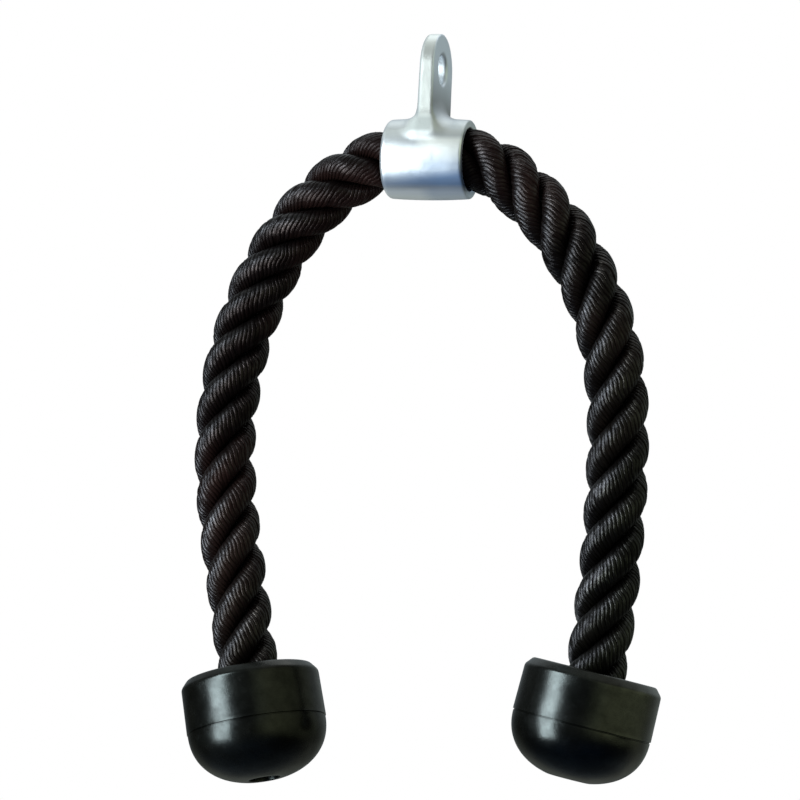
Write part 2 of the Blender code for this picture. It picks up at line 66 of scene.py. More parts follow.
# Sizes that scene.py shares with the CAD model

FERRULE_AXIS_Z = -0.0439
SLEEVE_LENGTH = 0.0400
SLEEVE_RADIUS = 0.0197
BORE_RADIUS = 0.0153
EYE_RADIUS = 0.0074
LUG_HEAD_RADIUS = 0.0174
LUG_THICKNESS = 0.0068
ROPE_RADIUS = 0.0150
LAY_LENGTH = 0.064
LAY_RADIUS = ROPE_RADIUS * 0.535
ROPE_SEAT_DEPTH = 0.0303
SEAT_GAP = 0.0003

# Each route runs from the ferrule's mouth to the stop's face, with X counted outwards

LEFT_ROUTE = (
    (0.0, 0.0, 0.0),
    (0.0066, 0.0, -0.0013),
    (0.0131, 0.0, -0.0045),
    (0.0196, 0.0, -0.0085),
    (0.0258, 0.0, -0.0126),
    (0.0314, 0.0, -0.0171),
    (0.0364, 0.0, -0.0219),
    (0.0457, 0.0, -0.0324),
    (0.0533, -0.0002, -0.0441),
    (0.0596, -0.0006, -0.0566),
    (0.0651, -0.0011, -0.0702),
    (0.0673, -0.0014, -0.0773),
    (0.0718, -0.0023, -0.0949),
    (0.0745, -0.0035, -0.1147),
    (0.0752, -0.0048, -0.1344),
    (0.0738, -0.0063, -0.1540),
    (0.0708, -0.0078, -0.1735),
    (0.0668, -0.0095, -0.1928),
    (0.0623, -0.0112, -0.2120),
    (0.0531, -0.0150, -0.2515),
)
RIGHT_ROUTE = (
    (0.0, 0.0, 0.0),
    (0.0066, 0.0, -0.0013),
    (0.0133, 0.0, -0.0048),
    (0.0199, 0.0, -0.0094),
    (0.0261, 0.0, -0.0143),
    (0.0316, 0.0, -0.0194),
    (0.0421, 0.0, -0.0296),
    (0.0508, 0.0001, -0.0412),
    (0.0582, 0.0005, -0.0536),
    (0.0648, 0.0010, -0.0667),
    (0.0702, 0.0016, -0.0811),
    (0.0747, 0.0026, -0.1000),
    (0.0770, 0.0038, -0.1188),
    (0.0776, 0.0051, -0.1377),
    (0.0775, 0.0065, -0.1566),
    (0.0768, 0.0077, -0.1755),
    (0.0758, 0.0087, -0.1944),
    (0.0742, 0.0094, -0.2133),
    (0.0707, 0.0095, -0.2430),
)


class Side(Enum):
    """One half of the rope, by the sign of X on its side of the ferrule."""

    LEFT = -1
    RIGHT = 1

    @property
    def word(self) -> str:
        """The word that starts the names of this side's nodes and bodies."""
        return self.name.lower()

    @property
    def mouth(self) -> tuple:
        """The middle of the ferrule's mouth on this side."""
        return self.value * SLEEVE_LENGTH / 2, 0.0, FERRULE_AXIS_Z


# Mesh helpers


def mesh_from_faces(
    name: str,
    points: np.ndarray,
    faces: Sequence[np.ndarray],
    uv: Optional[Sequence[np.ndarray]] = None,
) -> bpy.types.Mesh:
    """Makes a smooth mesh from arrays.

    Args:
        name: The mesh's name.
        points: The vertices, one row each.
        faces: Arrays of vertex numbers, each array with its own count of corners.
        uv: For each array of faces, one UV pair for each corner.

    Returns:
        The new mesh.
    """
    mesh = bpy.data.meshes.new(name)
    mesh.vertices.add(len(points))
    mesh.vertices.foreach_set("co", np.ascontiguousarray(points, np.float32).ravel())
    corners = np.concatenate([group.ravel() for group in faces]).astype(np.int32)
    counts = np.concatenate([np.full(len(group), group.shape[1]) for group in faces])
    starts = np.concatenate([[0], np.cumsum(counts)[:-1]]).astype(np.int32)
    mesh.loops.add(len(corners))
    mesh.loops.foreach_set("vertex_index", corners)
    mesh.polygons.add(len(counts))
    mesh.polygons.foreach_set("loop_start", starts)
    if uv is not None:
        layer = mesh.uv_layers.new(name="lay")
        flat = np.concatenate([group.reshape(-1, 2) for group in uv]).astype(np.float32)
        layer.uv.foreach_set("vector", flat.ravel())
    mesh.update(calc_edges=True)
    if mesh.validate():
        log.warning("%s had faces that the mesh check mended", name)
    mesh.shade_smooth()
    return mesh


def grid_quads(rows: int, columns: int, wrap_rows: bool, wrap_columns: bool) -> np.ndarray:
    """Numbers the corners of a grid's faces.

    Args:
        rows: How many rows of points the grid has.
        columns: How many points a row has.
        wrap_rows: Whether the last row joins the first.
        wrap_columns: Whether the last point of a row joins its first.

    Returns:
        One row of four vertex numbers for each face.
    """
    i = np.arange(rows if wrap_rows else rows - 1)[:, None]
    j = np.arange(columns if wrap_columns else columns - 1)[None, :]
    after, beside = (i + 1) % rows, (j + 1) % columns
    quads = np.stack(
        [i * columns + j, i * columns + beside, after * columns + beside, after * columns + j],
        axis=-1,
    )
    return quads.reshape(-1, 4)


def place(name: str, mesh: bpy.types.Mesh, finish: bpy.types.Material) -> bpy.types.Object:
    """Adds an object at the origin with one material, and reports it.

    Args:
        name: The object's name.
        mesh: Its mesh, in the row frame.
        finish: Its material.

    Returns:
        The new object.
    """
    mesh.materials.append(finish)
    obj = bpy.data.objects.new(name, mesh)
    bpy.context.scene.collection.objects.link(obj)
    log.info("%s: %d faces", name, len(mesh.polygons))
    return obj


def edge_crossings(
    value: np.ndarray, nodes: np.ndarray, axis: int, cell: float
) -> tuple[np.ndarray, np.ndarray]:
    """Finds where a grid's edges along one axis pass through zero, by a straight line.

    Args:
        value: The field at the grid's nodes.
        nodes: The places of the nodes.
        axis: The axis along which the edges run.
        cell: The length of an edge.

    Returns:
        Whether each edge passes through zero, and where.
    """
    head = [slice(None)] * 3
    tail = [slice(None)] * 3
    head[axis], tail[axis] = slice(None, -1), slice(1, None)
    a, b = value[tuple(head)], value[tuple(tail)]
    crosses = (a < 0) != (b < 0)
    share = np.where(crosses, a / np.where(crosses, a - b, 1.0), 0.0)
    spots = nodes[tuple(head)].copy()
    spots[..., axis] += share * cell
    return crosses, spots


def cell_points(
    value: np.ndarray, nodes: np.ndarray, cell: float
) -> tuple[np.ndarray, np.ndarray]:
    """Gives each cell that the surface passes through one point, the mean of its crossings.

    Args:
        value: The field at the grid's nodes.
        nodes: The places of the nodes.
        cell: The size of a cell.

    Returns:
        The number of each cell's point, -1 where it has none, and the points.
    """
    counts = np.array(value.shape)
    total = np.zeros((*(counts - 1), 3))
    hits = np.zeros(counts - 1)
    for axis in range(3):
        others = [k for k in range(3) if k != axis]
        crosses, spots = edge_crossings(value, nodes, axis, cell)
        for u in (0, 1):
            for v in (0, 1):
                pick = [slice(None)] * 3
                for k, shift in zip(others, (u, v)):
                    pick[k] = slice(shift, counts[k] - 1 + shift)
                total += np.where(crosses[tuple(pick)][..., None], spots[tuple(pick)], 0.0)
                hits += crosses[tuple(pick)]
    used = hits > 0
    number = np.full(used.shape, -1)
    number[used] = np.arange(used.sum())
    return number, total[used] / hits[used][:, None]


def cell_quads(inside: np.ndarray, number: np.ndarray) -> np.ndarray:
    """Joins the points of the four cells round each edge that leaves or enters the solid.

    Args:
        inside: Whether each node of the grid is inside.
        number: The number of each cell's point.

    Returns:
        The faces, turned outwards.
    """
    quads = []
    for axis in range(3):
        u, v = (axis + 1) % 3, (axis + 2) % 3
        head = [slice(1, -1)] * 3
        tail = [slice(1, -1)] * 3
        head[axis], tail[axis] = slice(None, -1), slice(1, None)
        a, b = inside[tuple(head)], inside[tuple(tail)]
        where = np.argwhere(a != b)
        leaves = a[tuple(where.T)]
        where[:, [u, v]] += 1
        step_u, step_v = np.eye(3, dtype=int)[u], np.eye(3, dtype=int)[v]
        corners = [where - step_u - step_v, where - step_v, where, where - step_u]
        quad = np.stack([number[tuple(corner.T)] for corner in corners], axis=-1)
        quad[~leaves] = quad[~leaves][:, ::-1]
        quads.append(quad)
    return np.concatenate(quads)


def drawn_onto(
    field: Field, points: np.ndarray, reach: float, rounds: int = 4
) -> np.ndarray:
    """Moves points down the field's slope until the field is zero at them.

    Args:
        field: Gives the signed distance at points.
        points: The points.
        reach: How far to each side the slope is measured.
        rounds: How many times they move.

    Returns:
        The points, on the surface.
    """
    least_slope = 0.05
    for _ in range(rounds):
        here = field(points)
        slope = np.stack(
            [(field(points + e) - field(points - e)) / (2 * reach) for e in np.eye(3) * reach],
            axis=-1,
        )
        steepness = np.maximum((slope**2).sum(axis=1), least_slope)
        points = points - slope * (here / steepness)[:, None]
    return points


def surface_net(
    field: Field, low: np.ndarray, high: np.ndarray, cell: float
) -> tuple[np.ndarray, np.ndarray]:
    """Finds the surface where a field is zero, as quads of about one cell each.

    Args:
        field: Gives the signed distance at points, negative inside.
        low: The lowest corner of the box that is searched.
        high: Its highest corner.
        cell: The size of a cell.

    Returns:
        The points, drawn onto the surface, and the faces, turned outwards.
    """
    counts = np.ceil((high - low) / cell).astype(int) + 1
    axes = [low[k] + cell * np.arange(counts[k]) for k in range(3)]
    nodes = np.stack(np.meshgrid(*axes, indexing="ij"), axis=-1)
    value = field(nodes.reshape(-1, 3)).reshape(counts)
    number, points = cell_points(value, nodes, cell)
    return drawn_onto(field, points, cell * 0.05), cell_quads(value < 0, number)


def capped_tube(rows: int, columns: int) -> tuple[np.ndarray, np.ndarray]:
    """Numbers the faces of a tube, each end of which closes on a point in its middle.

    Args:
        rows: How many rings of points the tube has.
        columns: How many points a ring has.

    Returns:
        The tube's quads, and the triangles of its ends. The two middle points are numbered last.
    """
    first = np.arange(columns)
    after = (first + 1) % columns
    last_ring = (rows - 1) * columns
    middle = rows * columns
    start_cap = np.stack([first, after, np.full(columns, middle)], axis=1)
    end_cap = np.stack([after + last_ring, first + last_ring, np.full(columns, middle + 1)], axis=1)
    quads = grid_quads(rows, columns, False, True)[:, ::-1]
    return quads, np.concatenate([start_cap, end_cap])


# Materials


class Nodes:
    """Writes the nodes of a material, or of a world, in a few words.

    A value that is given to an input is a socket, a number, or a colour of three numbers.
    """

    def __init__(self, name: str, world: bool = False) -> None:
        """Starts a material with its shader, or a world with its background.

        Args:
            name: The name of the material or world.
            world: Whether it is a world.
        """
        blocks = bpy.data.worlds if world else bpy.data.materials
        self.block = blocks.new(name)
        self.block.use_nodes = True
        self.tree = self.block.node_tree
        self.shader = self.tree.nodes["Background" if world else "Principled BSDF"]

    def add(self, kind: str, **settings: object) -> bpy.types.Node:
        """Adds a node and sets its properties.

        Args:
            kind: The node's type.
            settings: The properties, by name.

        Returns:
            The node.
        """
        node = self.tree.nodes.new(kind)
        for name, value in settings.items():
            setattr(node, name, value)
        return node

    def feed(self, socket: Socket, value: object) -> None:
        """Gives an input its value.

        Args:
            socket: The input.
            value: Another socket, a number, or a colour of three numbers.
        """
        if isinstance(value, bpy.types.NodeSocket):
            self.tree.links.new(value, socket)
        elif isinstance(value, tuple):
            socket.default_value = (*value, 1.0)
        else:
            socket.default_value = value

    def give(self, node: bpy.types.Node, **values: object) -> None:
        """Gives inputs their values by name, with _ for a space."""
        for name, value in values.items():
            self.feed(node.inputs[name.replace("_", " ")], value)

    def fill(self, node: bpy.types.Node, *values: object) -> Socket:
        """Gives a node's first inputs their values.

        Args:
            node: The node.
            values: The values, in the order of the inputs.

        Returns:
            The node's first output.
        """
        for socket, value in zip(node.inputs, values):
            self.feed(socket, value)
        return node.outputs[0]

    def math(self, operation: str, *values: object) -> Socket:
        """Adds a Math node."""
        return self.fill(self.add("ShaderNodeMath", operation=operation), *values)

    def product(self, first: object, *others: object) -> Socket:
        """Multiplies values, in their order."""
        for other in others:
            first = self.math("MULTIPLY", first, other)
        return first

    def vector(self, *values: object) -> Socket:
        """Puts a vector together from up to three values."""
        return self.fill(self.add("ShaderNodeCombineXYZ"), *values)

    def parts(self, vector: Socket) -> tuple:
        """Takes a vector apart into X, Y and Z."""
        node = self.add("ShaderNodeSeparateXYZ")
        self.feed(node.inputs[0], vector)
        return tuple(node.outputs)

    def noise(
        self, vector: Socket, scale: float, detail: float = 3.0, roughness: float = 0.55
    ) -> Socket:
        """Adds a noise texture.

        Args:
            vector: The place at which it is read.
            scale: How many waves fit in a unit.
            detail: How many finer noises are added.
            roughness: How strong the finer noises are.

        Returns:
            The noise, about 0.5 in the middle.
        """
        node = self.add("ShaderNodeTexNoise")
        self.give(node, Vector=vector, Scale=scale, Detail=detail, Roughness=roughness)
        return node.outputs["Fac"]

    def spread(
        self, value: Socket, low: float, high: float, to_low: float = 0.0, to_high: float = 1.0
    ) -> Socket:
        """Maps one range to another by a straight line that is held at its ends.

        Args:
            value: The value.
            low: Where the range begins. It may be above its end.
            high: Where the range ends.
            to_low: What its beginning becomes.
            to_high: What its end becomes.

        Returns:
            The mapped value.
        """
        node = self.add("ShaderNodeMapRange", clamp=True)
        self.give(node, Value=value, From_Min=low, From_Max=high, To_Min=to_low, To_Max=to_high)
        return node.outputs["Result"]

    def mix(self, share: Socket, first: object, second: object) -> Socket:
        """Mixes two colours.

        Args:
            share: How much of the second there is, from 0 to 1.
            first: A colour.
            second: Another colour.

        Returns:
            The mixed colour.
        """
        node = self.add("ShaderNodeMix", data_type="RGBA")
        colour_inputs = (0, 6, 7)
        for number, value in zip(colour_inputs, (share, first, second)):
            self.feed(node.inputs[number], value)
        return node.outputs[2]

    def glow(self, colour: object, strength: object) -> Socket:
        """Adds a background of one colour and strength."""
        return self.fill(self.add("ShaderNodeBackground"), colour, strength)

    def choose(self, which: Socket, first: Socket, second: Socket) -> Socket:
        """Takes the first shader where a value is 0, and the second where it is 1."""
        return self.fill(self.add("ShaderNodeMixShader"), which, first, second)

    def object_place(self) -> Socket:
        """The place on the object, in metres."""
        return self.add("ShaderNodeTexCoord").outputs["Object"]

    def facing(self) -> tuple:
        """X, Y and Z of the direction in which the surface faces."""
        return self.parts(self.add("ShaderNodeTexCoord").outputs["Normal"])

    def bump(
        self, height: Socket, distance: float, strength: float = 1.0, under: Optional[Socket] = None
    ) -> Socket:
        """Adds a bump.

        Args:
            height: The height.
            distance: How far the surface is moved by a height of 1.
            strength: How much of the bump there is.
            under: Another bump, on top of which this one lies.

        Returns:
            The bumped normal.
        """
        node = self.add("ShaderNodeBump")
        self.give(node, Distance=distance, Strength=strength, Height=height)
        if under is not None:
            self.give(node, Normal=under)
        return node.outputs["Normal"]

    def finish(self, **sockets: object) -> bpy.types.Material:
        """Gives the shader's inputs their values, and returns the material."""
        self.give(self.shader, **sockets)
        return self.block


@dataclass(frozen=True)
class RopeFinish:
    """Black polypropylene yarn: fibres along each yarn, and yarns of slightly unlike tone.

    The brown patches and the sheen run from one tone at the rope's upper left to another at its
    lower right. The patches are stronger where a strand faces right, as painted shade. The sheen
    is a painted highlight: stronger and bluish where a strand faces left, warmer where it faces
    right, and dulled by painted shade in the creases, underneath and near the sleeve's mouth.
    """

    dark: tuple = (0.0005, 0.0004, 0.0004)
    pale: tuple = (0.0022, 0.0020, 0.0021)
    left_brown: tuple = (0.0120, 0.0058, 0.0051)
    right_brown: tuple = (0.0058, 0.0056, 0.0040)
    # Painted light: the sheen's tint is bluish where a strand faces left, and reddish to yellowish
    # where it faces right.
    cool: tuple = (0.88, 0.90, 1.0)
    left_warm: tuple = (0.96, 0.79, 0.77)
    right_warm: tuple = (0.97, 1.0, 0.86)
    corner_to_corner: tuple = (0.10, 0.34)
    fibres_across: float = 7.0
    fibre_slant: float = 900.0
    fibres_along: float = 170.0
    flecks_across: float = 1.1
    flecks_along: float = 210.0
    sleeve_shade: tuple = (0.020, 0.027)

    def material(self, name: str) -> bpy.types.Material:
        """Builds the rope's material, which follows the yarns by the mesh's UV map.

        Args:
            name: The material's name.

        Returns:
            The material.
        """
        n = Nodes(name)
        across, along, _ = n.parts(n.add("ShaderNodeUVMap", uv_map="lay").outputs["UV"])
        place = n.object_place()
        x, _, z = n.parts(place)
        sideways = n.add("ShaderNodeAttribute", attribute_name="sideways").outputs["Fac"]
        low_right = n.spread(n.math("SUBTRACT", x, z), *self.corner_to_corner)
        streak = self.streak(n, across, along)
        height = n.math("ADD", streak, n.product(n.noise(place, 900.0, 2.0), 0.3))
        # Painted light: the sheen's tint on sides that face right, reddish at the upper left and
        # yellowish at the lower right.
        warm = n.mix(low_right, self.left_warm, self.right_warm)
        # Painted highlight: the sheen is stronger where the strand faces left, and varies in random
        # patches.
        painted_side_sheen_and_patches = n.product(
            n.spread(sideways, -0.35, 0.45, 1.28, 0.74),
            n.spread(n.noise(place, 46.0, 2.0), 0.38, 0.64, 0.66, 1.42),
        )
        # Painted shade: the sheen fades near the sleeve's mouth. It is also a little stronger
        # towards the lower right.
        level = n.product(
            n.spread(low_right, 0.0, 1.0, 0.90, 1.08),
            n.spread(n.math("ABSOLUTE", x), *self.sleeve_shade, 0.12, 1.0),
        )
        return n.finish(
            Base_Color=self.colour(n, place, across, streak, sideways, low_right),
            Roughness=n.spread(streak, 0.3, 0.7, 0.23, 0.36),
            Normal=n.bump(height, 0.00024, 0.8),
            Specular_IOR_Level=n.product(self.glints(n, across, along), painted_side_sheen_and_patches, level),
            Specular_Tint=n.mix(n.spread(sideways, -0.35, 0.30), self.cool, warm),
        )

    def streak(self, n: Nodes, across: Socket, along: Socket) -> Socket:
        """The fibres: a noise drawn out along each yarn and unlike from yarn to yarn.

        Args:
            n: The material's nodes.
            across: The place across the yarns, one unit a yarn.
            along: The place along the rope, in metres.

        Returns:
            The noise.
        """
        slanted = n.math(
            "ADD", n.product(across, self.fibres_across), n.product(along, self.fibre_slant)
        )
        drawn = n.vector(slanted, n.product(along, self.fibres_along), n.math("FLOOR", across))
        return n.noise(drawn, 1.0, 4.0, 0.6)

    def colour(
        self,
        n: Nodes,
        place: Socket,
        across: Socket,
        streak: Socket,
        sideways: Socket,
        low_right: Socket,
    ) -> Socket:
        """The black of each yarn, mixed with brown patches that are stronger, as painted shade,
        where the strand faces right.

        Args:
            n: The material's nodes.
            place: The place on the rope.
            across: The place across the yarns, one unit a yarn.
            streak: The noise of the fibres.
            sideways: How far the strand faces towards +X.
            low_right: 0 at the rope's upper left, 1 at its lower right.

        Returns:
            The colour.
        """
        own = n.add("ShaderNodeTexWhiteNoise", noise_dimensions="1D")
        n.feed(own.inputs["W"], n.math("FLOOR", across))
        tone = n.math("ADD", n.product(own.outputs["Value"], 0.45), n.product(streak, 0.75))
        black = n.mix(n.spread(tone, 0.25, 0.95), self.dark, self.pale)
        # Painted shade: the random brown patches are stronger where the strand faces right.
        patches_and_painted_shade = n.product(
            n.spread(n.noise(place, 14.0, 2.0), 0.42, 0.62, 0.15, 0.85),
            n.spread(sideways, -0.30, 0.40, 0.25, 1.0),
        )
        return n.mix(patches_and_painted_shade, black, n.mix(low_right, self.left_brown, self.right_brown))

    def glints(self, n: Nodes, across: Socket, along: Socket) -> Socket:
        """Short flecks of sheen on the yarns' crests, dulled by painted shade in the creases and
        underneath, with a painted highlight where the surface faces left.

        Args:
            n: The material's nodes.
            across: The place across the yarns, one unit a yarn.
            along: The place along the rope, in metres.

        Returns:
            The level of the sheen.
        """
        flecks = n.vector(n.product(across, self.flecks_across), n.product(along, self.flecks_along))
        from_crest = n.math("ABSOLUTE", n.math("SUBTRACT", n.math("FRACT", across), 0.5))
        facing_x, _, facing_z = n.facing()
        # Painted shade in the creases and underneath, and a painted highlight where the surface
        # faces left.
        return n.product(
            n.spread(n.noise(flecks, 1.0, 3.0, 0.6), 0.37, 0.67, 0.09, 0.56),
            n.spread(from_crest, 0.30, 0.46, 1.0, 0.10),
            n.spread(facing_x, 0.0, 0.50, 1.05, 0.75),
            n.spread(facing_z, -0.60, 0.0, 0.40, 1.0),
        )


@dataclass(frozen=True)
class RubberFinish:
    """Moulded rubber with a fine skin and a little bloom. Its sheen has a painted tint, bluish where
    it faces left and yellowish where it faces right.
    """

    dark: tuple = (0.0004, 0.0004, 0.0003)
    bloom: tuple = (0.0016, 0.0016, 0.0010)
    # Painted light: the sheen's tint, bluish where the rubber faces left and yellowish where it
    # faces right.
    gloss: tuple = (0.84, 0.98, 1.0)
    olive: tuple = (1.0, 1.0, 0.86)
    sheen: float = 0.42

    def material(self, name: str) -> bpy.types.Material:
        """Builds the rubber, with fine pits and broad soft patches of sheen.

        Args:
            name: The material's name.

        Returns:
            The material.
        """
        n = Nodes(name)
        place = n.object_place()
        facing_x, _, facing_z = n.facing()
        broad = n.noise(place, 26.0, 3.0)
        scuff = n.noise(place, 240.0, 5.0, 0.7)
        waves = n.bump(n.noise(place, 55.0, 2.0), 0.0006, 0.25)
        return n.finish(
            Base_Color=n.mix(n.spread(broad, 0.38, 0.66), self.dark, self.bloom),
            Roughness=n.math(
                "ADD", n.spread(broad, 0.3, 0.7, 0.20, 0.27), n.spread(scuff, 0.5, 0.8, 0.0, 0.08)
            ),
            Normal=n.bump(n.noise(place, 1500.0, 2.0), 0.00006, 0.6, waves),
            Specular_IOR_Level=self.shine(n, place, facing_x, facing_z),
            Specular_Tint=n.mix(n.spread(facing_x, 0.0, 0.5), self.gloss, self.olive),
        )

    def shine(self, n: Nodes, place: Socket, facing_x: Socket, facing_z: Socket) -> Socket:
        """The sheen: smeared, dulled above and below by painted shade, and unlike on the two stops
        as a painted highlight.

        Args:
            n: The material's nodes.
            place: The place on the stop.
            facing_x: How far the surface faces towards +X.
            facing_z: How far it faces up.

        Returns:
            The level of the sheen.
        """
        x, _, _ = n.parts(place)
        right_stop = n.spread(x, -0.02, 0.02)
        towards_right = n.spread(facing_x, 0.35, 0.75)
        # Painted highlight: on sides that face right, the sheen is lower on the left stop and higher
        # on the right stop, which is also a little higher all over.
        change = n.product(towards_right, n.spread(right_stop, 0.0, 1.0, -0.20, 0.18))
        smear = n.noise(place, 130.0, 4.0, 0.65)
        return n.product(
            n.math("ADD", change, self.sheen),
            n.spread(facing_z, -0.90, -0.35, 0.50, 1.0),
            n.spread(facing_z, 0.30, 0.60, 1.0, 0.70),
            n.spread(right_stop, 0.0, 1.0, 1.0, 1.12),
            n.spread(smear, 0.36, 0.64, 0.72, 1.22),
        )


@dataclass(frozen=True)
class CastFinish:
    """Satin cast metal: a fine cast skin that has been tumbled and plated.

    Most of its zones of tone are painted light: a painted blue reflection in a band low on the
    sleeve, a painted pale reflection underneath, a painted highlight on the sleeve's front, painted
    light on its upper part, and painted light and shade on the lug's edge, foot and sides. Each pair
    of places is where a change of tone begins and where it ends.
    """

    base: tuple = (0.585, 0.632, 0.665)
    shade: tuple = (0.515, 0.562, 0.600)
    # Painted reflection: a blue band low on the sleeve.
    passivate: tuple = (0.23, 0.36, 0.59)
    # Painted shade along the lug's edge, and painted light at its top.
    rim: tuple = (0.475, 0.505, 0.490)
    tip: tuple = (0.83, 0.88, 0.87)
    # Painted shade on the lug's left side.
    flank: tuple = (0.34, 0.37, 0.38)
    # Painted shade on the lug's foot, which dims the highlight there.
    foot: tuple = (0.50, 0.535, 0.53)
    # Painted reflection: the sleeve's underside is paler.
    bare: tuple = (0.92, 0.97, 1.0)
    # Painted highlight on the sleeve's front, and painted light on its upper part beside the lug.
    sheen: tuple = (0.93, 0.98, 0.96)
    # Painted shade and light on the lug's right side: darker low, lighter high.
    cheek_low: tuple = (0.38, 0.40, 0.43)
    cheek_high: tuple = (0.80, 0.88, 0.98)

    underside_z: tuple = (-0.0592, -0.0612)
    band_bottom_z: tuple = (-0.0602, -0.0580)
    band_top_z: tuple = (-0.0508, -0.0566)
    band_tilt: float = 0.10
    band_x: tuple = (-0.020, 0.008)
    faint_z: tuple = (-0.0410, -0.0500)
    faint_x: tuple = (-0.003, 0.004)
    band_y: tuple = (0.002, 0.012)
    rim_reach: tuple = (0.0146, 0.0160)
    rim_z: tuple = (-0.0380, -0.0280)
    tip_z: tuple = (0.003, 0.012)
    flank_x: tuple = (-0.0014, -0.0032)
    cheek_x: tuple = (0.0027, 0.0034)
    cheek_z: tuple = (-0.0260, -0.0200)
    cheek_light_z: tuple = (-0.0180, -0.0020)
    front_y: tuple = (0.004, -0.002)
    left_of_lug_x: tuple = (-0.0080, -0.0110)
    right_of_lug_x: tuple = (0.0035, 0.0060)
    foot_bottom_z: tuple = (-0.0350, -0.0320)
    foot_top_z: tuple = (-0.0240, -0.0270)
    sheen_bottom_z: tuple = (-0.0490, -0.0390)
    sheen_top_z: tuple = (-0.0350, -0.0375)
    sheen_x: tuple = (-0.004, 0.004)
    crest_bottom_z: tuple = (-0.0370, -0.0325)
    crest_top_z: tuple = (-0.0255, -0.0285)

    def material(self, name: str) -> bpy.types.Material:
        """Builds the cast metal, with soft clouds of tone and a fine grain.

        Args:
            name: The material's name.

        Returns:
            The material.
        """
        n = Nodes(name)
        place = n.object_place()
        x, y, z = n.parts(place)
        cloud = n.noise(place, 60.0, 4.0, 0.6)
        grain = n.noise(place, 1800.0, 3.0, 0.6)
        scratch = n.noise(place, 420.0, 6.0, 0.75)
        colour = n.mix(n.spread(cloud, 0.3, 0.7), self.shade, self.base)
        colour = self.on_sleeve(n, colour, x, y, z)
        edge = self.lug_edge(n, y, z)
        # Painted shade where the lug's edge turns to its left side.
        flank = n.product(edge, n.spread(x, *self.flank_x))
        colour = self.on_lug(n, colour, edge, flank, x, z)
        front = n.spread(y, *self.front_y)
        aside = n.math(
            "MAXIMUM", n.spread(x, *self.left_of_lug_x), n.spread(x, *self.right_of_lug_x)
        )
        # Painted shade on the front of the lug's foot, between the sleeve's sides.
        foot = n.product(
            n.spread(z, *self.foot_bottom_z),
            n.spread(z, *self.foot_top_z),
            n.math("SUBTRACT", 1.0, aside),
            front,
        )
        colour = n.mix(foot, colour, self.foot)
        colour = self.on_shoulder(n, colour, front, aside, x, z)
        rough = n.math(
            "ADD", n.spread(cloud, 0.3, 0.7, 0.37, 0.44), n.spread(scratch, 0.55, 0.8, 0.0, 0.10)
        )
        blurred = n.product(n.math("MAXIMUM", foot, flank), 0.46)
        waves = n.bump(n.noise(place, 110.0, 2.0), 0.0007, 0.18)
        return n.finish(
            Base_Color=colour,
            Roughness=n.math("ADD", rough, blurred),
            Metallic=0.88,
            Normal=n.bump(grain, 0.00005, 0.5, waves),
        )

    def on_sleeve(self, n: Nodes, colour: Socket, x: Socket, y: Socket, z: Socket) -> Socket:
        """Adds a painted pale reflection underneath, and a painted blue reflection in a band above
        it, fainter behind.

        Args:
            n: The material's nodes.
            colour: The colour so far.
            x: The place along the sleeve.
            y: The place towards the back.
            z: The height.

        Returns:
            The colour.
        """
        # Painted reflection: a blue band low on the sleeve, fainter behind, with a faint zone above
        # it on the right.
        tilted = n.math("SUBTRACT", z, n.product(x, self.band_tilt))
        band = n.product(
            n.spread(z, *self.band_bottom_z),
            n.spread(tilted, *self.band_top_z),
            n.spread(x, *self.band_x, 0.52, 0.92),
        )
        faint = n.product(n.spread(z, *self.faint_z, 0.0, 0.34), n.spread(x, *self.faint_x))
        blue = n.product(
            n.math("MAXIMUM", band, faint), n.spread(y, *self.band_y, 1.0, 0.30)
        )
        # Painted reflection: the sleeve's underside is paler.
        with_painted_underside = n.mix(n.spread(z, *self.underside_z), colour, self.bare)
        return n.mix(blue, with_painted_underside, self.passivate)

    def lug_edge(self, n: Nodes, y: Socket, z: Socket) -> Socket:
        """Where the lug's edge is: far out from its middle line, or from the eye above it.

        Args:
            n: The material's nodes.
            y: The place towards the back.
            z: The height.

        Returns:
            1 on the edge.
        """
        up = n.math("MAXIMUM", z, 0.0)
        reach = n.math("SQRT", n.math("ADD", n.product(y, y), n.product(up, up)))
        return n.product(n.spread(reach, *self.rim_reach), n.spread(z, *self.rim_z))

    def on_lug(
        self,
        n: Nodes,
        colour: Socket,
        edge: Socket,
        flank: Socket,
        x: Socket,
        z: Socket,
    ) -> Socket:
        """Adds painted shade along the lug's edge with painted light at its top, painted shade on
        its left side, and painted light and shade on its right side, darker low and lighter high.

        Args:
            n: The material's nodes.
            colour: The colour so far.
            edge: Where the lug's edge is.
            flank: Where that edge turns to its left side, which gets painted shade.
            x: The place across the lug.
            z: The height.

        Returns:
            The colour.
        """
        colour = n.mix(edge, colour, n.mix(n.spread(z, *self.tip_z), self.rim, self.tip))
        colour = n.mix(flank, colour, self.flank)
        # Painted shade and light on the lug's right side, darker low and lighter high.
        cheek = n.product(n.spread(x, *self.cheek_x), n.spread(z, *self.cheek_z))
        light = n.mix(n.spread(z, *self.cheek_light_z), self.cheek_low, self.cheek_high)
        return n.mix(cheek, colour, light)

    def on_shoulder(
        self,
        n: Nodes,
        colour: Socket,
        front: Socket,
        aside: Socket,
        x: Socket,
        z: Socket,
    ) -> Socket:
        """Adds a painted highlight on the front of the sleeve, and painted light on its upper part
        on both sides of the lug.

        Args:
            n: The material's nodes.
            colour: The colour so far.
            front: 1 on the front.
            aside: 1 to the left and right of the lug.
            x: The place along the sleeve.
            z: The height.

        Returns:
            The colour.
        """
        # Painted highlight on the front of the sleeve, right of the lug's middle.
        sheen = n.product(
            n.spread(z, *self.sheen_top_z),
            n.spread(z, *self.sheen_bottom_z),
            front,
            n.spread(x, *self.sheen_x),
        )
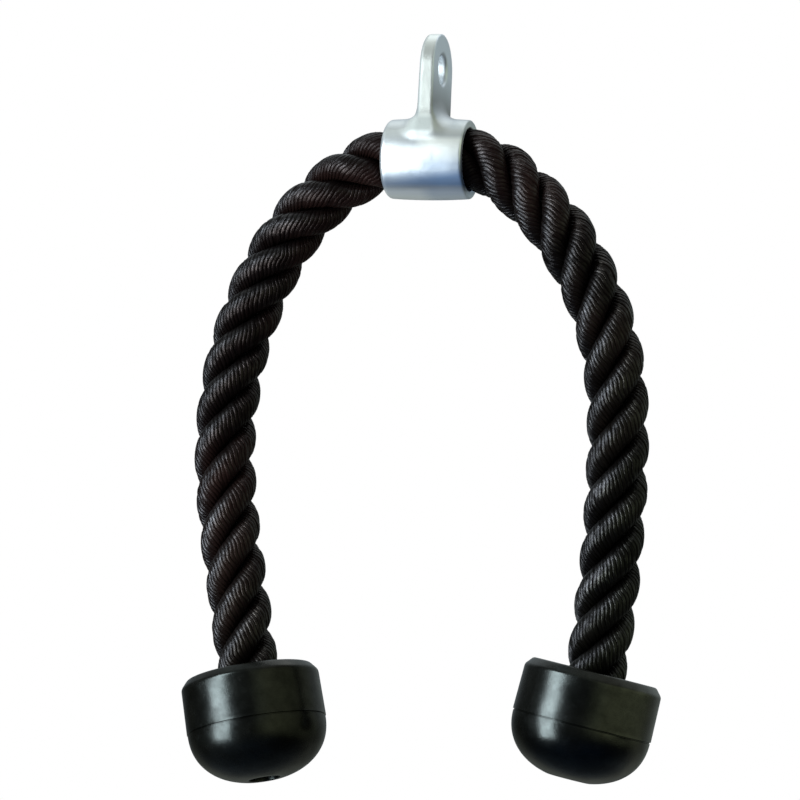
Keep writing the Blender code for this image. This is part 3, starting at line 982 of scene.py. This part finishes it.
        # Painted light on the upper part of the sleeve, left and right of the lug.
        painted_crest_light = n.product(
            n.spread(z, *self.crest_bottom_z, 0.0, 0.30), aside, n.spread(z, *self.crest_top_z)
        )
        return n.mix(painted_crest_light, n.mix(sheen, colour, self.sheen), self.sheen)


@dataclass(frozen=True)
class ZincFinish:
    """Zinc-plated steel of the hidden fixings, faintly yellow in patches, and darkened as painted
    shade of the recesses in which they sit.
    """

    # Painted shade: the dark base stands in for the shade in the stops' recesses.
    base: tuple = (0.17, 0.165, 0.16)
    tinge: tuple = (0.13, 0.11, 0.09)

    def material(self, name: str) -> bpy.types.Material:
        """Builds the plated steel.

        Args:
            name: The material's name.

        Returns:
            The material.
        """
        n = Nodes(name)
        place = n.object_place()
        patch = n.noise(place, 160.0, 4.0, 0.6)
        return n.finish(
            Base_Color=n.mix(n.spread(patch, 0.4, 0.7), self.base, self.tinge),
            Roughness=n.spread(patch, 0.3, 0.7, 0.30, 0.46),
            Metallic=1.0,
            Normal=n.bump(n.noise(place, 2400.0, 2.0), 0.00003, 0.5),
        )


# The ferrule


@dataclass(frozen=True)
class CastFerrule:
    """The casting that holds the rope: a sleeve with the eye's lug standing on it.

    The rims, edges, mouth and fillet are radii. The sides that face left are rounder.
    """

    cell: float = 0.00062
    search_margin: float = 0.002
    crown: float = 0.0007
    rim: float = 0.0007
    left_rim: float = 0.0024
    mouth: float = 0.0005
    fillet: float = 0.0092
    lug_edge: float = 0.0014
    crisp_edge: float = 0.0007
    eye_edge: float = 0.0015
    draft: float = math.radians(0.7)
    foot_z: float = -0.0325
    foot_ease: float = 0.004
    foot_slope: float = 0.6
    shift: float = -0.0007
    extra_length: float = 0.0006

    @staticmethod
    def both(a: np.ndarray, b: np.ndarray, radius: float | np.ndarray) -> np.ndarray:
        """The distance to what lies in two solids: the larger one, with a round at the edge."""
        return np.minimum(np.maximum(a, b), -radius) + np.hypot(
            np.maximum(a + radius, 0.0), np.maximum(b + radius, 0.0)
        )

    @staticmethod
    def either(a: np.ndarray, b: np.ndarray, radius: float) -> np.ndarray:
        """The distance to two solids together: the smaller one, with a fillet in the corner."""
        return np.maximum(np.minimum(a, b), radius) - np.hypot(
            np.maximum(radius - a, 0.0), np.maximum(radius - b, 0.0)
        )

    def sleeve(self, x: np.ndarray, from_axis: np.ndarray) -> np.ndarray:
        """The distance to the sleeve without its bore.

        Its radius is less towards the ends by the crown, times the square of the way there.

        Args:
            x: The places along the sleeve.
            from_axis: The distances from its axis.

        Returns:
            The distances, negative in the metal.
        """
        half_length = (SLEEVE_LENGTH + self.extra_length) / 2
        across = np.abs(x - self.shift)
        share = np.clip(across / half_length, 0.0, 1.0)
        outer = from_axis - SLEEVE_RADIUS + self.crown * share**2
        rim = np.where(x < 0, self.left_rim, self.rim)
        return self.both(outer, across - half_length, rim)

    def lug(self, x: np.ndarray, y: np.ndarray, z: np.ndarray) -> np.ndarray:
        """The distance to the lug without its eye.

        It is a plate with a half round head. Its draft makes it thicker downwards, and below its
        foot it narrows along a hyperbola.

        Args:
            x: The places across the plate.
            y: The places along the plate.
            z: The heights.

        Returns:
            The distances, negative in the metal.
        """
        half = LUG_THICKNESS / 2 + np.tan(self.draft) * (LUG_HEAD_RADIUS - z)
        flat = np.abs(x) - half
        outline = np.where(z > 0, np.hypot(y, z), np.abs(y)) - LUG_HEAD_RADIUS
        under = self.foot_z - z
        outline = outline + self.foot_slope * (under + np.hypot(under, self.foot_ease))
        corner = np.where(x < 0, self.lug_edge, self.crisp_edge)
        return self.both(self.both(flat, outline, corner), FERRULE_AXIS_Z - z, self.lug_edge)

    def distance(self, points: np.ndarray) -> np.ndarray:
        """The distance to the casting: the lug and the sleeve, less the bore and the eye.

        Args:
            points: The points.

        Returns:
            The distances, negative in the metal.
        """
        x, y, z = points.T
        from_axis = np.hypot(y, z - FERRULE_AXIS_Z)
        body = self.either(self.lug(x, y, z), self.sleeve(x, from_axis), self.fillet)
        body = self.both(body, BORE_RADIUS - from_axis, self.mouth)
        return self.both(body, EYE_RADIUS - np.hypot(y, z), self.eye_edge)

    def build(self, finish: bpy.types.Material) -> bpy.types.Object:
        """Makes the casting and puts it in place of its CAD node.

        Args:
            finish: The cast metal.

        Returns:
            The casting.
        """
        margin = self.search_margin
        low = np.array([-SLEEVE_LENGTH / 2, -SLEEVE_RADIUS, FERRULE_AXIS_Z - SLEEVE_RADIUS])
        high = np.array([SLEEVE_LENGTH / 2, SLEEVE_RADIUS, LUG_HEAD_RADIUS])
        points, quads = surface_net(self.distance, low - margin, high + margin, self.cell)
        obj = place("cast_ferrule", mesh_from_faces("cast_ferrule", points, [quads]), finish)
        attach(obj, "ferrule")
        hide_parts("ferrule")
        return obj


# The rope


def straight(start: np.ndarray, end: np.ndarray, count: int) -> np.ndarray:
    """Evenly spaced points from one place to another."""
    return start + (end - start) * np.linspace(0, 1, count)[:, None]


@dataclass(frozen=True)
class CentreLine:
    """Points along the rope's centre, with the frame that is carried along them."""

    points: np.ndarray
    tangents: np.ndarray
    normals: np.ndarray
    along: np.ndarray

    @classmethod
    def through(
        cls, side: Side, route: Sequence[Sequence[float]], down: Vector, spacing: float
    ) -> "CentreLine":
        """Runs a smooth line from the middle of the ferrule to the rope's end in its stop.

        It is straight in the sleeve and in the stop, and a spline between them.

        Args:
            side: The rope's side.
            route: The places from the ferrule's mouth to the stop's face.
            down: The direction in which the rope enters the stop.
            spacing: How far apart the points are, roughly.

        Returns:
            The line.
        """
        steps_in_sleeve, steps_in_stop = 12, 16
        mouth = np.array(side.mouth)
        places = mouth + np.array(route) * (side.value, 1.0, 1.0)
        free = cls.spline(places, np.array([side.value, 0.0, 0.0]), np.array(down))
        start = np.array([side.value * SEAT_GAP / 2, 0.0, FERRULE_AXIS_Z])
        end = places[-1] + np.array(down) * ROPE_SEAT_DEPTH
        inside = straight(start, mouth, steps_in_sleeve)[:-1]
        seated = straight(places[-1], end, steps_in_stop)[1:]
        line = np.concatenate([inside, free, seated])
        along = np.concatenate([[0.0], np.cumsum(np.linalg.norm(np.diff(line, axis=0), axis=1))])
        wanted = np.linspace(0.0, along[-1], round(along[-1] / spacing) + 1)
        points = np.stack([np.interp(wanted, along, line[:, k]) for k in range(3)], axis=1)
        tangents = np.gradient(points, wanted, axis=0)
        tangents /= np.linalg.norm(tangents, axis=1)[:, None]
        return cls(points, tangents, cls.carried_normals(tangents), wanted)

    @staticmethod
    def carried_normals(tangents: np.ndarray) -> np.ndarray:
        """Carries a normal along the line, squared to each tangent in turn, so without twist.

        Args:
            tangents: The directions of the line.

        Returns:
            The normals. The first one points to the back.
        """
        normals = np.empty_like(tangents)
        carried = Vector((0.0, 1.0, 0.0))
        for i, tangent in enumerate(tangents):
            t = Vector(tangent)
            carried = (carried - t * carried.dot(t)).normalized()
            normals[i] = carried
        return normals

    @staticmethod
    def spline(points: np.ndarray, start: np.ndarray, end: np.ndarray) -> np.ndarray:
        """A clamped cubic spline, with its slopes from the usual tridiagonal equations.

        Args:
            points: The points that it goes through.
            start: Its direction at the first point.
            end: Its direction at the last point.

        Returns:
            Closely spaced points of the spline.
        """
        steps_between = 24
        step = np.linalg.norm(np.diff(points, axis=0), axis=1)
        secant = np.diff(points, axis=0) / step[:, None]
        count = len(points)
        matrix = np.eye(count)
        right = np.zeros_like(points)
        right[0], right[-1] = start, end
        for i in range(1, count - 1):
            matrix[i, i - 1 : i + 2] = step[i], 2 * (step[i - 1] + step[i]), step[i - 1]
            right[i] = 3 * (step[i] * secant[i - 1] + step[i - 1] * secant[i])
        slope = np.linalg.solve(matrix, right)
        t = np.linspace(0.0, 1.0, steps_between, endpoint=False)[:, None]
        pieces = [
            (1 + 2 * t) * (1 - t) ** 2 * points[i]
            + t * (1 - t) ** 2 * step[i] * slope[i]
            + t**2 * (3 - 2 * t) * points[i + 1]
            + t**2 * (t - 1) * step[i] * slope[i + 1]
            for i in range(count - 1)
        ]
        return np.concatenate([*pieces, points[-1:]])


@dataclass(frozen=True)
class Strand:
    """The arrays of one strand: a grid of points with a middle point for each end.

    `sideways` says how far each point of the strand's round lies towards +X.
    """

    points: np.ndarray
    quads: np.ndarray
    caps: np.ndarray
    uv: np.ndarray
    sideways: np.ndarray


@dataclass(frozen=True)
class LaidRope:
    """One side of the three-strand rope, every yarn a ridge that runs round its strand.

    `inward` and `forward` are how far the rope leans where it enters its stop. The yarns are
    uneven: `own_height` and `drift_height` are the spread of their heights, whole and along the
    rope, `stray` and `slack` are angles by which they wander, and `sway` shifts the slack waves.
    """

    side: Side
    route: tuple
    inward: float
    forward: float
    phase: float
    strands: int = 3
    yarns: int = 21
    points_per_yarn: int = 6
    spacing: float = 0.00150
    squareness: float = 14.0
    yarn_pitch: float = 0.0268
    yarn_depth: float = 0.00066
    yarn_level: float = 1.12
    crown_gap: float = 0.00012
    own_height: float = 0.24
    drift_height: float = 0.32
    drift_rows: int = 7
    stray: float = 0.030
    slack: float = 0.055
    slack_length: float = 0.019
    sway: float = 2.4
    sway_length: float = 0.053
    bend_below: float = 0.046
    bend_above: float = 0.034
    seed: int = 3

    def down(self) -> Vector:
        """The direction in which the rope runs into its stop."""
        across = -self.side.value * math.tan(self.inward)
        return Vector((across, -math.tan(self.forward), -1.0)).normalized()

    def line(self) -> CentreLine:
        """The rope's centre line."""
        return CentreLine.through(self.side, self.route, self.down(), self.spacing)

    def section(self, angle: np.ndarray) -> np.ndarray:
        """How far a strand's surface lies from its own centre.

        The strand's slanting cut is an ellipse. Two flat walls face its neighbours, and the three
        are joined softly, by a power mean of their distances.

        Args:
            angle: The angles from the rope's outward direction.

        Returns:
            The distances, less where the strand is pressed against its neighbours.
        """
        least_facing = 0.05
        lean = math.atan(math.tau * LAY_RADIUS / LAY_LENGTH)
        thick = ROPE_RADIUS - LAY_RADIUS
        wide = thick / math.cos(lean)
        ellipse = 1 / np.hypot(np.cos(angle) / thick, np.sin(angle) / wide)
        wall = LAY_RADIUS * math.sin(math.pi / self.strands) - SEAT_GAP / 2
        normal = math.pi / 2 + math.pi / self.strands
        total = ellipse**-self.squareness
        for turn in (normal, -normal):
            facing = np.maximum(np.cos(angle - turn), least_facing)
            total = total + (wall / facing) ** -self.squareness
        return total ** (-1 / self.squareness)

    def yarn_angles(self, along: np.ndarray, number: int) -> np.ndarray:
        """The angles round a strand of the lines that its yarns follow.

        The lines turn against the lay once in every pitch. Two sine waves are added: a fixed one
        round the strand, and one along it whose own phase sways.

        Args:
            along: The places along the rope.
            number: The strand's number, from 0.

        Returns:
            A row of angles for each place.
        """
        columns = self.yarns * self.points_per_yarn
        column = np.arange(columns) / columns
        spin = -math.tau * along / self.yarn_pitch
        stray = self.stray * np.sin(2 * math.tau * column + number)
        sway = self.sway * np.sin(math.tau * along / self.sway_length + number)
        slack = math.tau * along / self.slack_length + sway
        spin = spin + self.slack * np.sin(slack + 2.0 * number)
        return math.tau * column[None, :] + spin[:, None] + stray[None, :]

    def yarn_heights(self, along: np.ndarray, rng: np.random.Generator) -> np.ndarray:
        """How high the yarns stand: half a circle across each, times one plus two noises.

        Args:
            along: The places along the rope.
            rng: Where the noises come from: one value for each yarn, and one that drifts along it.

        Returns:
            A row of heights for each place, about 1 on the crests.
        """
        columns = self.yarns * self.points_per_yarn
        within = (np.arange(columns) % self.points_per_yarn) / self.points_per_yarn
        ridge = np.sqrt(np.maximum(1 - (2 * within - 1) ** 2, 0.0))
        own = np.repeat(rng.normal(0.0, self.own_height, self.yarns), self.points_per_yarn)
        slow = rng.normal(0.0, 1.0, (len(along) // self.drift_rows + 3, self.yarns))
        at = along / along[-1] * (len(slow) - 1.001)
        low = at.astype(int)
        mix = (at - low)[:, None]
        mix = mix * mix * (3 - 2 * mix)
        drift = slow[low] * (1 - mix) + slow[low + 1] * mix
        drift = np.repeat(drift, self.points_per_yarn, axis=1)
        return ridge[None, :] * (1.0 + own[None, :] + self.drift_height * drift)

    def yarn_uv(self, along: np.ndarray, number: int) -> np.ndarray:
        """The UV pairs of a strand's quads: U counts the yarns, and V runs along the rope.

        Args:
            along: The places along the rope.
            number: The strand's number, from 0.

        Returns:
            Four pairs for each quad.
        """
        strand_offset = 100.0
        columns = self.yarns * self.points_per_yarn
        u = (np.arange(columns + 1) / self.points_per_yarn) + strand_offset * number
        corner = np.stack(np.broadcast_arrays(u[None, :], along[:, None]), axis=-1)
        pairs = np.stack(
            [corner[:-1, :-1], corner[:-1, 1:], corner[1:, 1:], corner[1:, :-1]], axis=2
        )
        return pairs.reshape(-1, 4, 2)[:, ::-1]

    def strand(self, line: CentreLine, number: int, rng: np.random.Generator) -> Strand:
        """Makes one strand: its section, cut back between the yarns, carried round the rope.

        Args:
            line: The rope's centre line.
            number: The strand's number, from 0.
            rng: Where the unevenness of the yarns comes from.

        Returns:
            The strand.
        """
        turn = self.phase + math.tau * number / self.strands + math.tau * line.along / LAY_LENGTH
        side = np.cross(line.tangents, line.normals)
        outward = line.normals * np.cos(turn)[:, None] + side * np.sin(turn)[:, None]
        across = side * np.cos(turn)[:, None] - line.normals * np.sin(turn)[:, None]
        angle = self.yarn_angles(line.along, number)
        section = self.section(angle)
        height = self.yarn_heights(line.along, rng)
        reach = section - self.yarn_depth * (self.yarn_level - height)
        reach = np.minimum(reach, section - self.crown_gap)
        points = (
            line.points[:, None, :]
            + outward[:, None, :] * (LAY_RADIUS + reach * np.cos(angle))[..., None]
            + across[:, None, :] * (reach * np.sin(angle))[..., None]
        )
        ends = np.stack([points[0].mean(axis=0), points[-1].mean(axis=0)])
        sideways = outward[:, None, 0] * np.cos(angle) + across[:, None, 0] * np.sin(angle)
        quads, caps = capped_tube(*angle.shape)
        return Strand(
            points=np.concatenate([points.reshape(-1, 3), ends]),
            quads=quads,
            caps=caps,
            uv=self.yarn_uv(line.along, number),
            sideways=np.concatenate([sideways.ravel(), np.zeros(len(ends))]),
        )

    def build(self, finish: bpy.types.Material) -> bpy.types.Object:
        """Args:
            finish: The rope's material.

        Returns:
            The rope.
        """
        line = self.line()
        rng = np.random.default_rng(self.seed)
        strands = [self.strand(line, number, rng) for number in range(self.strands)]
        size = len(strands[0].points)
        quads = np.concatenate([strand.quads + size * k for k, strand in enumerate(strands)])
        caps = np.concatenate([strand.caps + size * k for k, strand in enumerate(strands)])
        name = f"{self.side.word}_rope"
        mesh = mesh_from_faces(
            name,
            np.concatenate([strand.points for strand in strands]),
            [quads, caps],
            [np.concatenate([strand.uv for strand in strands]), np.zeros((*caps.shape, 2))],
        )
        sideways = np.concatenate([strand.sideways for strand in strands])
        attribute = mesh.attributes.new("sideways", "FLOAT", "POINT")
        attribute.data.foreach_set("value", sideways.astype(np.float32))
        obj = place(name, mesh, finish)
        self.attach(obj)
        return obj

    def attach(self, obj: bpy.types.Object) -> None:
        """Bakes the rope's placement into its mesh, and hides the CAD strands of its neck and leg.

        Args:
            obj: The rope.
        """
        word = self.side.word
        joint = next(j for j in frame["joints"] if j["name"] == f"{word}_spread")
        bend = np.array(joint["pos_m"])
        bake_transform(obj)
        nodes = [
            f"{word}_{part}_strand_{n + 1}" for part in ("neck", "leg") for n in range(self.strands)
        ]
        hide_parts(*nodes)


# The stops


def eased(corner: Sequence[tuple], radius: float, count: int = 5) -> list:
    """Rounds the middle one of three corners of a profile, by a parabola.

    Args:
        corner: The corners before, at and after the rounding.
        radius: How far from the corner the rounding starts.
        count: How many points the rounding has.

    Returns:
        The points of the rounding.
    """
    before, at, after = (np.array(c, float) for c in corner)
    a = at + (before - at) / np.linalg.norm(before - at) * radius
    b = at + (after - at) / np.linalg.norm(after - at) * radius
    t = np.linspace(0, 1, count)[:, None]
    return [tuple(p) for p in (1 - t) ** 2 * a + 2 * t * (1 - t) * at + t**2 * b]


@dataclass(frozen=True)
class RubberStop:
    """A moulded stop: chamfered shoulder, parting line, dome and the screw's recess.

    Depths are counted down from the top face. The steps of the seam are how far each of its
    points lies inside the wall and above the parting line.
    """

    side: Side
    radius: float = 0.0335
    top_radius: float = 0.0331
    shoulder: float = 0.026
    chamfer_width: float = 0.0033
    chamfer_height: float = 0.0039
    chamfer_edge: float = 0.0009
    shoulder_edge: float = 0.0011
    seam_steps: tuple = (
        (0.00001, 0.00065),
        (0.00001, 0.00042),
        (0.00066, 0.00016),
        (0.00068, -0.00014),
        (0.00030, -0.00034),
        (0.00030, -0.00056),
    )
    dome_depth: float = 0.0256
    dome_reach: float = 0.0264
    dome_power: float = 2.25
    dome_start: float = 0.045
    flat_edge: float = 0.0007
    entry: float = 0.0154
    entry_edge: float = 0.0009
    entry_start: float = 0.004
    entry_depth: float = 0.012
    pocket: float = 0.0169
    pocket_bottom: float = 0.0306
    recess: float = 0.0075
    recess_edge: float = 0.0006
    recess_depth: float = 0.010
    screw_hole: float = 0.0034
    skin_depth: float = 0.01
    seam_width: float = 0.0005
    slow_wave: float = 0.00005
    quick_wave: float = 0.00004
    flash_wave: float = 0.00006
    sharp_angle: float = math.radians(50)
    steps: int = 168

    def top_and_wall(self) -> list:
        """The profile from the rope's hole over the top face and down the wall to the seam.

        Straight runs with their corners rounded, and the seam's small steps.

        Returns:
            The corners of the profile.
        """
        entry = (self.entry, 0.0)
        lip = (self.entry + self.entry_edge, 0.0)
        face = (self.top_radius - self.chamfer_width, 0.0)
        edge = (self.top_radius, -self.chamfer_height)
        seam = (self.radius, -self.shoulder)
        return [
            *eased([(self.entry, -self.entry_start), entry, face], self.entry_edge),
            *((r, 0.0) for r in np.linspace(lip[0], face[0], 10)[1:-1]),
            *eased([lip, face, edge], self.chamfer_edge),
            *eased([face, edge, seam], self.shoulder_edge, 6),
            *(
                (edge[0] + (seam[0] - edge[0]) * share, edge[1] + (seam[1] - edge[1]) * share)
                for share in np.linspace(0.12, 0.97, 14)
            ),
            *((self.radius - inward, seam[1] + up) for inward, up in self.seam_steps),
        ]

    def dome_and_recess(self) -> list:
        """The profile from the seam round the dome and up through the screw's hole.

        The dome is a superellipse, cut off by a flat.

        Returns:
            The corners of the profile.
        """
        wall = self.radius - self.seam_steps[-1][0]
        power = 2 / self.dome_power
        last = math.asin((self.dome_depth / self.dome_reach) ** (self.dome_power / 2))
        dome = [
            (wall * math.cos(a) ** power, -self.shoulder - self.dome_reach * math.sin(a) ** power)
            for a in np.linspace(self.dome_start, last, 34)[:-1]
        ]
        bottom = -(self.shoulder + self.dome_depth)
        roof = bottom + self.recess_depth
        rim = (wall * math.cos(last) ** power, bottom)
        hole = (self.recess, bottom)
        return [
            *dome,
            *eased([dome[-1], rim, hole], self.flat_edge, 4),
            *eased([rim, hole, (self.recess, roof)], self.recess_edge),
            (self.recess, roof),
            (self.screw_hole, roof),
            (self.screw_hole, -self.pocket_bottom),
            (self.pocket, -self.pocket_bottom),
            (self.pocket, -self.entry_depth),
            (self.entry, -self.entry_depth),
        ]

    def turned(self, profile: np.ndarray) -> np.ndarray:
        """Turns the closed profile round the Z axis.

        Sine waves move the outer skin by a little, and more so the flash at the parting line.

        Args:
            profile: The radius and the height of each corner.

        Returns:
            A ring of points for each corner.
        """
        turn = math.tau * np.arange(self.steps) / self.steps
        wobble = self.slow_wave * np.sin(3 * turn + 1.1) + self.quick_wave * np.sin(7 * turn)
        flash = self.flash_wave * (np.sin(5 * turn + 0.4) + np.sin(13 * turn + 2.0))
        outer = np.clip((profile[:, 0] - self.pocket) / self.skin_depth, 0, 1)
        near_seam = np.exp(-(((profile[:, 1] + self.shoulder) / self.seam_width) ** 2))
        radius = (
            profile[:, 0][:, None]
            + outer[:, None] * wobble[None, :]
            + (near_seam * (outer > 0.9))[:, None] * flash[None, :]
        )
        height = np.broadcast_to(profile[:, 1][:, None], radius.shape)
        return np.stack([radius * np.cos(turn), radius * np.sin(turn), height], axis=-1)

    def build(self, rope: LaidRope, finish: bpy.types.Material) -> bpy.types.Object:
        """Makes the stop on the end of its rope.

        Args:
            rope: The rope that it holds.
            finish: The rubber.

        Returns:
            The stop.
        """
        local = self.turned(np.array(self.top_and_wall() + self.dome_and_recess()))
        out, back, up = rope.route[-1]
        face = Vector(self.side.mouth) + Vector((self.side.value * out, back, up))
        lean = np.array(rope.down().to_track_quat("-Z", "Y").to_matrix())
        points = local.reshape(-1, 3) @ lean.T + np.array(face)
        quads = grid_quads(*local.shape[:2], True, True)[:, ::-1]
        name = f"{self.side.word}_rubber_stop"
        obj = place(name, mesh_from_faces(name, points, [quads]), finish)
        obj.data.set_sharp_from_angle(angle=self.sharp_angle)
        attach(obj, f"{self.side.word}_leg")
        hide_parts(f"{self.side.word}_stop")
        return obj


@dataclass(frozen=True)
class Fixings:
    """The small steel fixings inside the stops, which stay as CAD nodes."""

    parts: tuple = ("crimp_band", "washer", "lag_screw")

    def dress(self, finish: bpy.types.Material) -> None:
        """Gives every fixing its finish, and reports it.

        Args:
            finish: The plated steel.
        """
        for side in Side:
            for part in self.parts:
                name = f"{side.word}_{part}"
                for slot in frame["nodes"][name].material_slots:
                    slot.material = finish
                log.info("%s: CAD node with its finish", name)


# The studio


@dataclass(frozen=True)
class Softbox:
    """A rectangular lamp that faces a point."""

    name: str
    at: tuple
    aim: tuple
    size: tuple
    power: float
    colour: tuple = (1.0, 1.0, 1.0)

    def add(self) -> None:
        """Adds the lamp to the scene."""
        data = bpy.data.lights.new(self.name, "AREA")
        data.shape = "RECTANGLE"
        data.size, data.size_y = self.size
        data.energy = self.power
        data.color = self.colour
        obj = bpy.data.objects.new(self.name, data)
        bpy.context.scene.collection.objects.link(obj)
        obj.location = self.at
        obj.rotation_euler = (Vector(self.aim) - Vector(self.at)).to_track_quat("-Z", "Y").to_euler()


@dataclass(frozen=True)
class Studio:
    """A pale floor, soft lights and the photograph's camera.

    The bands are the tones that the metal sees above, in front of and below it, each with its
    angle round the X axis. The glow lights what faces right.
    """

    floor_z: float = -1.5
    floor_reach: float = 4.0
    floor_colour: tuple = (0.86, 0.86, 0.86)
    azimuth: float = math.radians(16)
    elevation: float = math.radians(-5)
    roll: float = math.radians(3.0)
    distance: float = 1.6
    lens: float = 150.0
    sensor: float = 36.0
    clip_start: float = 0.05
    aim_z: float = -0.17
    shift_x: float = -0.02213
    shift_y: float = 0.02388
    seen_colour: tuple = (1.0, 1.0, 1.0)
    soft_colour: tuple = (0.94, 0.97, 1.0)
    glow_colour: tuple = (0.88, 1.0, 0.66)
    side_glow: float = 0.54
    glow_rise: tuple = (math.radians(14), math.radians(36))
    glow_fall: tuple = (math.radians(100), math.radians(142))
    bands: tuple = (
        (-180.0, (0.17, 0.195, 0.205)),
        (-162.0, (0.15, 0.165, 0.15)),
        (-145.0, (0.29, 0.31, 0.27)),
        (-122.0, (0.15, 0.18, 0.205)),
        (-96.0, (0.065, 0.09, 0.125)),
        (-70.0, (0.012, 0.035, 0.08)),
        (-40.0, (0.012, 0.035, 0.08)),
        (-12.0, (0.03, 0.033, 0.035)),
        (25.0, (0.10, 0.11, 0.11)),
        (60.0, (0.32, 0.34, 0.31)),
        (90.0, (0.54, 0.57, 0.54)),
        (120.0, (0.84, 0.91, 0.92)),
        (152.0, (0.42, 0.48, 0.50)),
        (180.0, (0.17, 0.195, 0.205)),
    )
    softboxes: tuple = (
        Softbox(
            name="key_softbox",
            at=(-0.627, -0.673, -0.17),
            aim=(0.0, 0.0, -0.17),
            size=(0.44, 1.14),
            power=20.6,
            colour=(0.93, 0.99, 1.0),
        ),
        Softbox(
            name="top_softbox",
            at=(0.0, 0.9, 1.6),
            aim=(0.0, 0.0, -0.18),
            size=(1.6, 1.2),
            power=2.5,
        ),
    )

    def camera(self) -> None:
        """Puts the camera where the photographer's was."""
        data = bpy.data.cameras.new("camera")
        data.sensor_width = self.sensor
        data.lens = self.lens
        data.shift_x, data.shift_y = self.shift_x, self.shift_y
        data.clip_start = self.clip_start
        obj = bpy.data.objects.new("camera", data)
        bpy.context.scene.collection.objects.link(obj)
        away = Vector(
            (
                math.sin(self.azimuth) * math.cos(self.elevation),
                -math.cos(self.azimuth) * math.cos(self.elevation),
                math.sin(self.elevation),
            )
        )
        obj.location = Vector((0.0, 0.0, self.aim_z)) + away * self.distance
        turn = (-away).to_track_quat("-Z", "Y") @ Matrix.Rotation(self.roll, 3, "Z").to_quaternion()
        obj.rotation_euler = turn.to_euler()
        bpy.context.scene.camera = obj

    def floor(self) -> None:
        """Lays a wide pale floor that shows white to the camera, with the object's shadow."""
        reach, z = self.floor_reach, self.floor_z
        corners = [(-reach, -reach, z), (reach, -reach, z), (reach, reach, z), (-reach, reach, z)]
        mesh = mesh_from_faces("floor", np.array(corners), [np.array([[0, 1, 2, 3]])])
        finish = Nodes("pale_floor").finish(
            Base_Color=self.floor_colour, Roughness=0.9, Specular_IOR_Level=0.2
        )
        obj = place("floor", mesh, finish)
        obj.visible_glossy = False

    def strips(self, n: Nodes, x: Socket, front: Socket, z: Socket) -> Socket:
        """The bands of tone round the X axis, dimmer towards its ends.

        Args:
            n: The world's nodes.
            x: X of the direction.
            front: How far the direction points to the front.
            z: Z of the direction.

        Returns:
            The background.
        """
        node = n.add("ShaderNodeValToRGB")
        around = n.math("ARCTAN2", z, front)
        n.feed(node.inputs[0], n.spread(around, -math.pi, math.pi))
        ramp = node.color_ramp
        for _ in range(len(self.bands) - 2):
            ramp.elements.new(0.5)
        for element, (angle, colour) in zip(ramp.elements, self.bands):
            element.position = (angle + 180.0) / 360.0
            element.color = (*colour, 1.0)
        strength = n.spread(n.math("ABSOLUTE", x), 0.45, 0.90, 1.0, 0.10)
        return n.glow(node.outputs["Color"], strength)

    def glow(self, n: Nodes, x: Socket, front: Socket, z: Socket) -> Socket:
        """A soft glow at the right, from a little below the middle to half way up.

        Args:
            n: The world's nodes.
            x: X of the direction.
            front: How far the direction points to the front.
            z: Z of the direction.

        Returns:
            The background.
        """
        azimuth = n.math("ARCTAN2", x, front)
        level = n.product(
            n.spread(z, -0.42, -0.08, 0.0, self.side_glow), n.spread(z, 0.35, 0.75, 1.0, 0.0)
        )
        strength = n.product(
            n.spread(azimuth, *self.glow_rise), n.spread(azimuth, *self.glow_fall, 1.0, 0.12), level
        )
        return n.glow(self.glow_colour, strength)

    def world(self) -> None:
        """A world that is white to the camera, soft to matt surfaces and a studio to metal."""
        n = Nodes("studio", world=True)
        x, y, z = n.parts(n.add("ShaderNodeTexCoord").outputs["Generated"])
        front = n.product(y, -1.0)
        strips, glow = self.strips(n, x, front, z), self.glow(n, x, front, z)
        shiny = n.fill(n.add("ShaderNodeAddShader"), strips, glow)
        soft = n.glow(self.soft_colour, n.spread(z, -0.7, 0.7, 0.25, 0.75))
        n.give(n.shader, Color=self.seen_colour)
        path = n.add("ShaderNodeLightPath").outputs
        unseen = n.choose(path["Is Glossy Ray"], soft, shiny)
        whole = n.choose(path["Is Camera Ray"], unseen, n.shader.outputs[0])
        n.feed(n.tree.nodes["World Output"].inputs[0], whole)
        bpy.context.scene.world = n.block

    def build(self) -> None:
        """Sets up the whole studio."""
        self.camera()
        self.floor()
        self.world()
        for softbox in self.softboxes:
            softbox.add()
        bpy.context.scene.view_settings.view_transform = "Standard"


def main() -> None:
    """Builds the scene."""
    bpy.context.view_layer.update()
    rope_finish = RopeFinish().material("black_laid_rope")
    rubber = RubberFinish().material("black_moulded_rubber")
    Studio().build()
    ropes = (
        LaidRope(
            side=Side.LEFT,
            route=LEFT_ROUTE,
            inward=math.radians(13.9),
            forward=math.radians(5),
            phase=math.radians(90),
        ),
        LaidRope(
            side=Side.RIGHT,
            route=RIGHT_ROUTE,
            inward=math.radians(11.2),
            forward=math.radians(2),
            phase=math.radians(-133),
        ),
    )
    for rope in ropes:
        rope.build(rope_finish)
        RubberStop(rope.side).build(rope, rubber)
    CastFerrule().build(CastFinish().material("satin_cast_metal"))
    Fixings().dress(ZincFinish().material("zinc_plated_steel"))


if __name__ == "__main__":
    main()
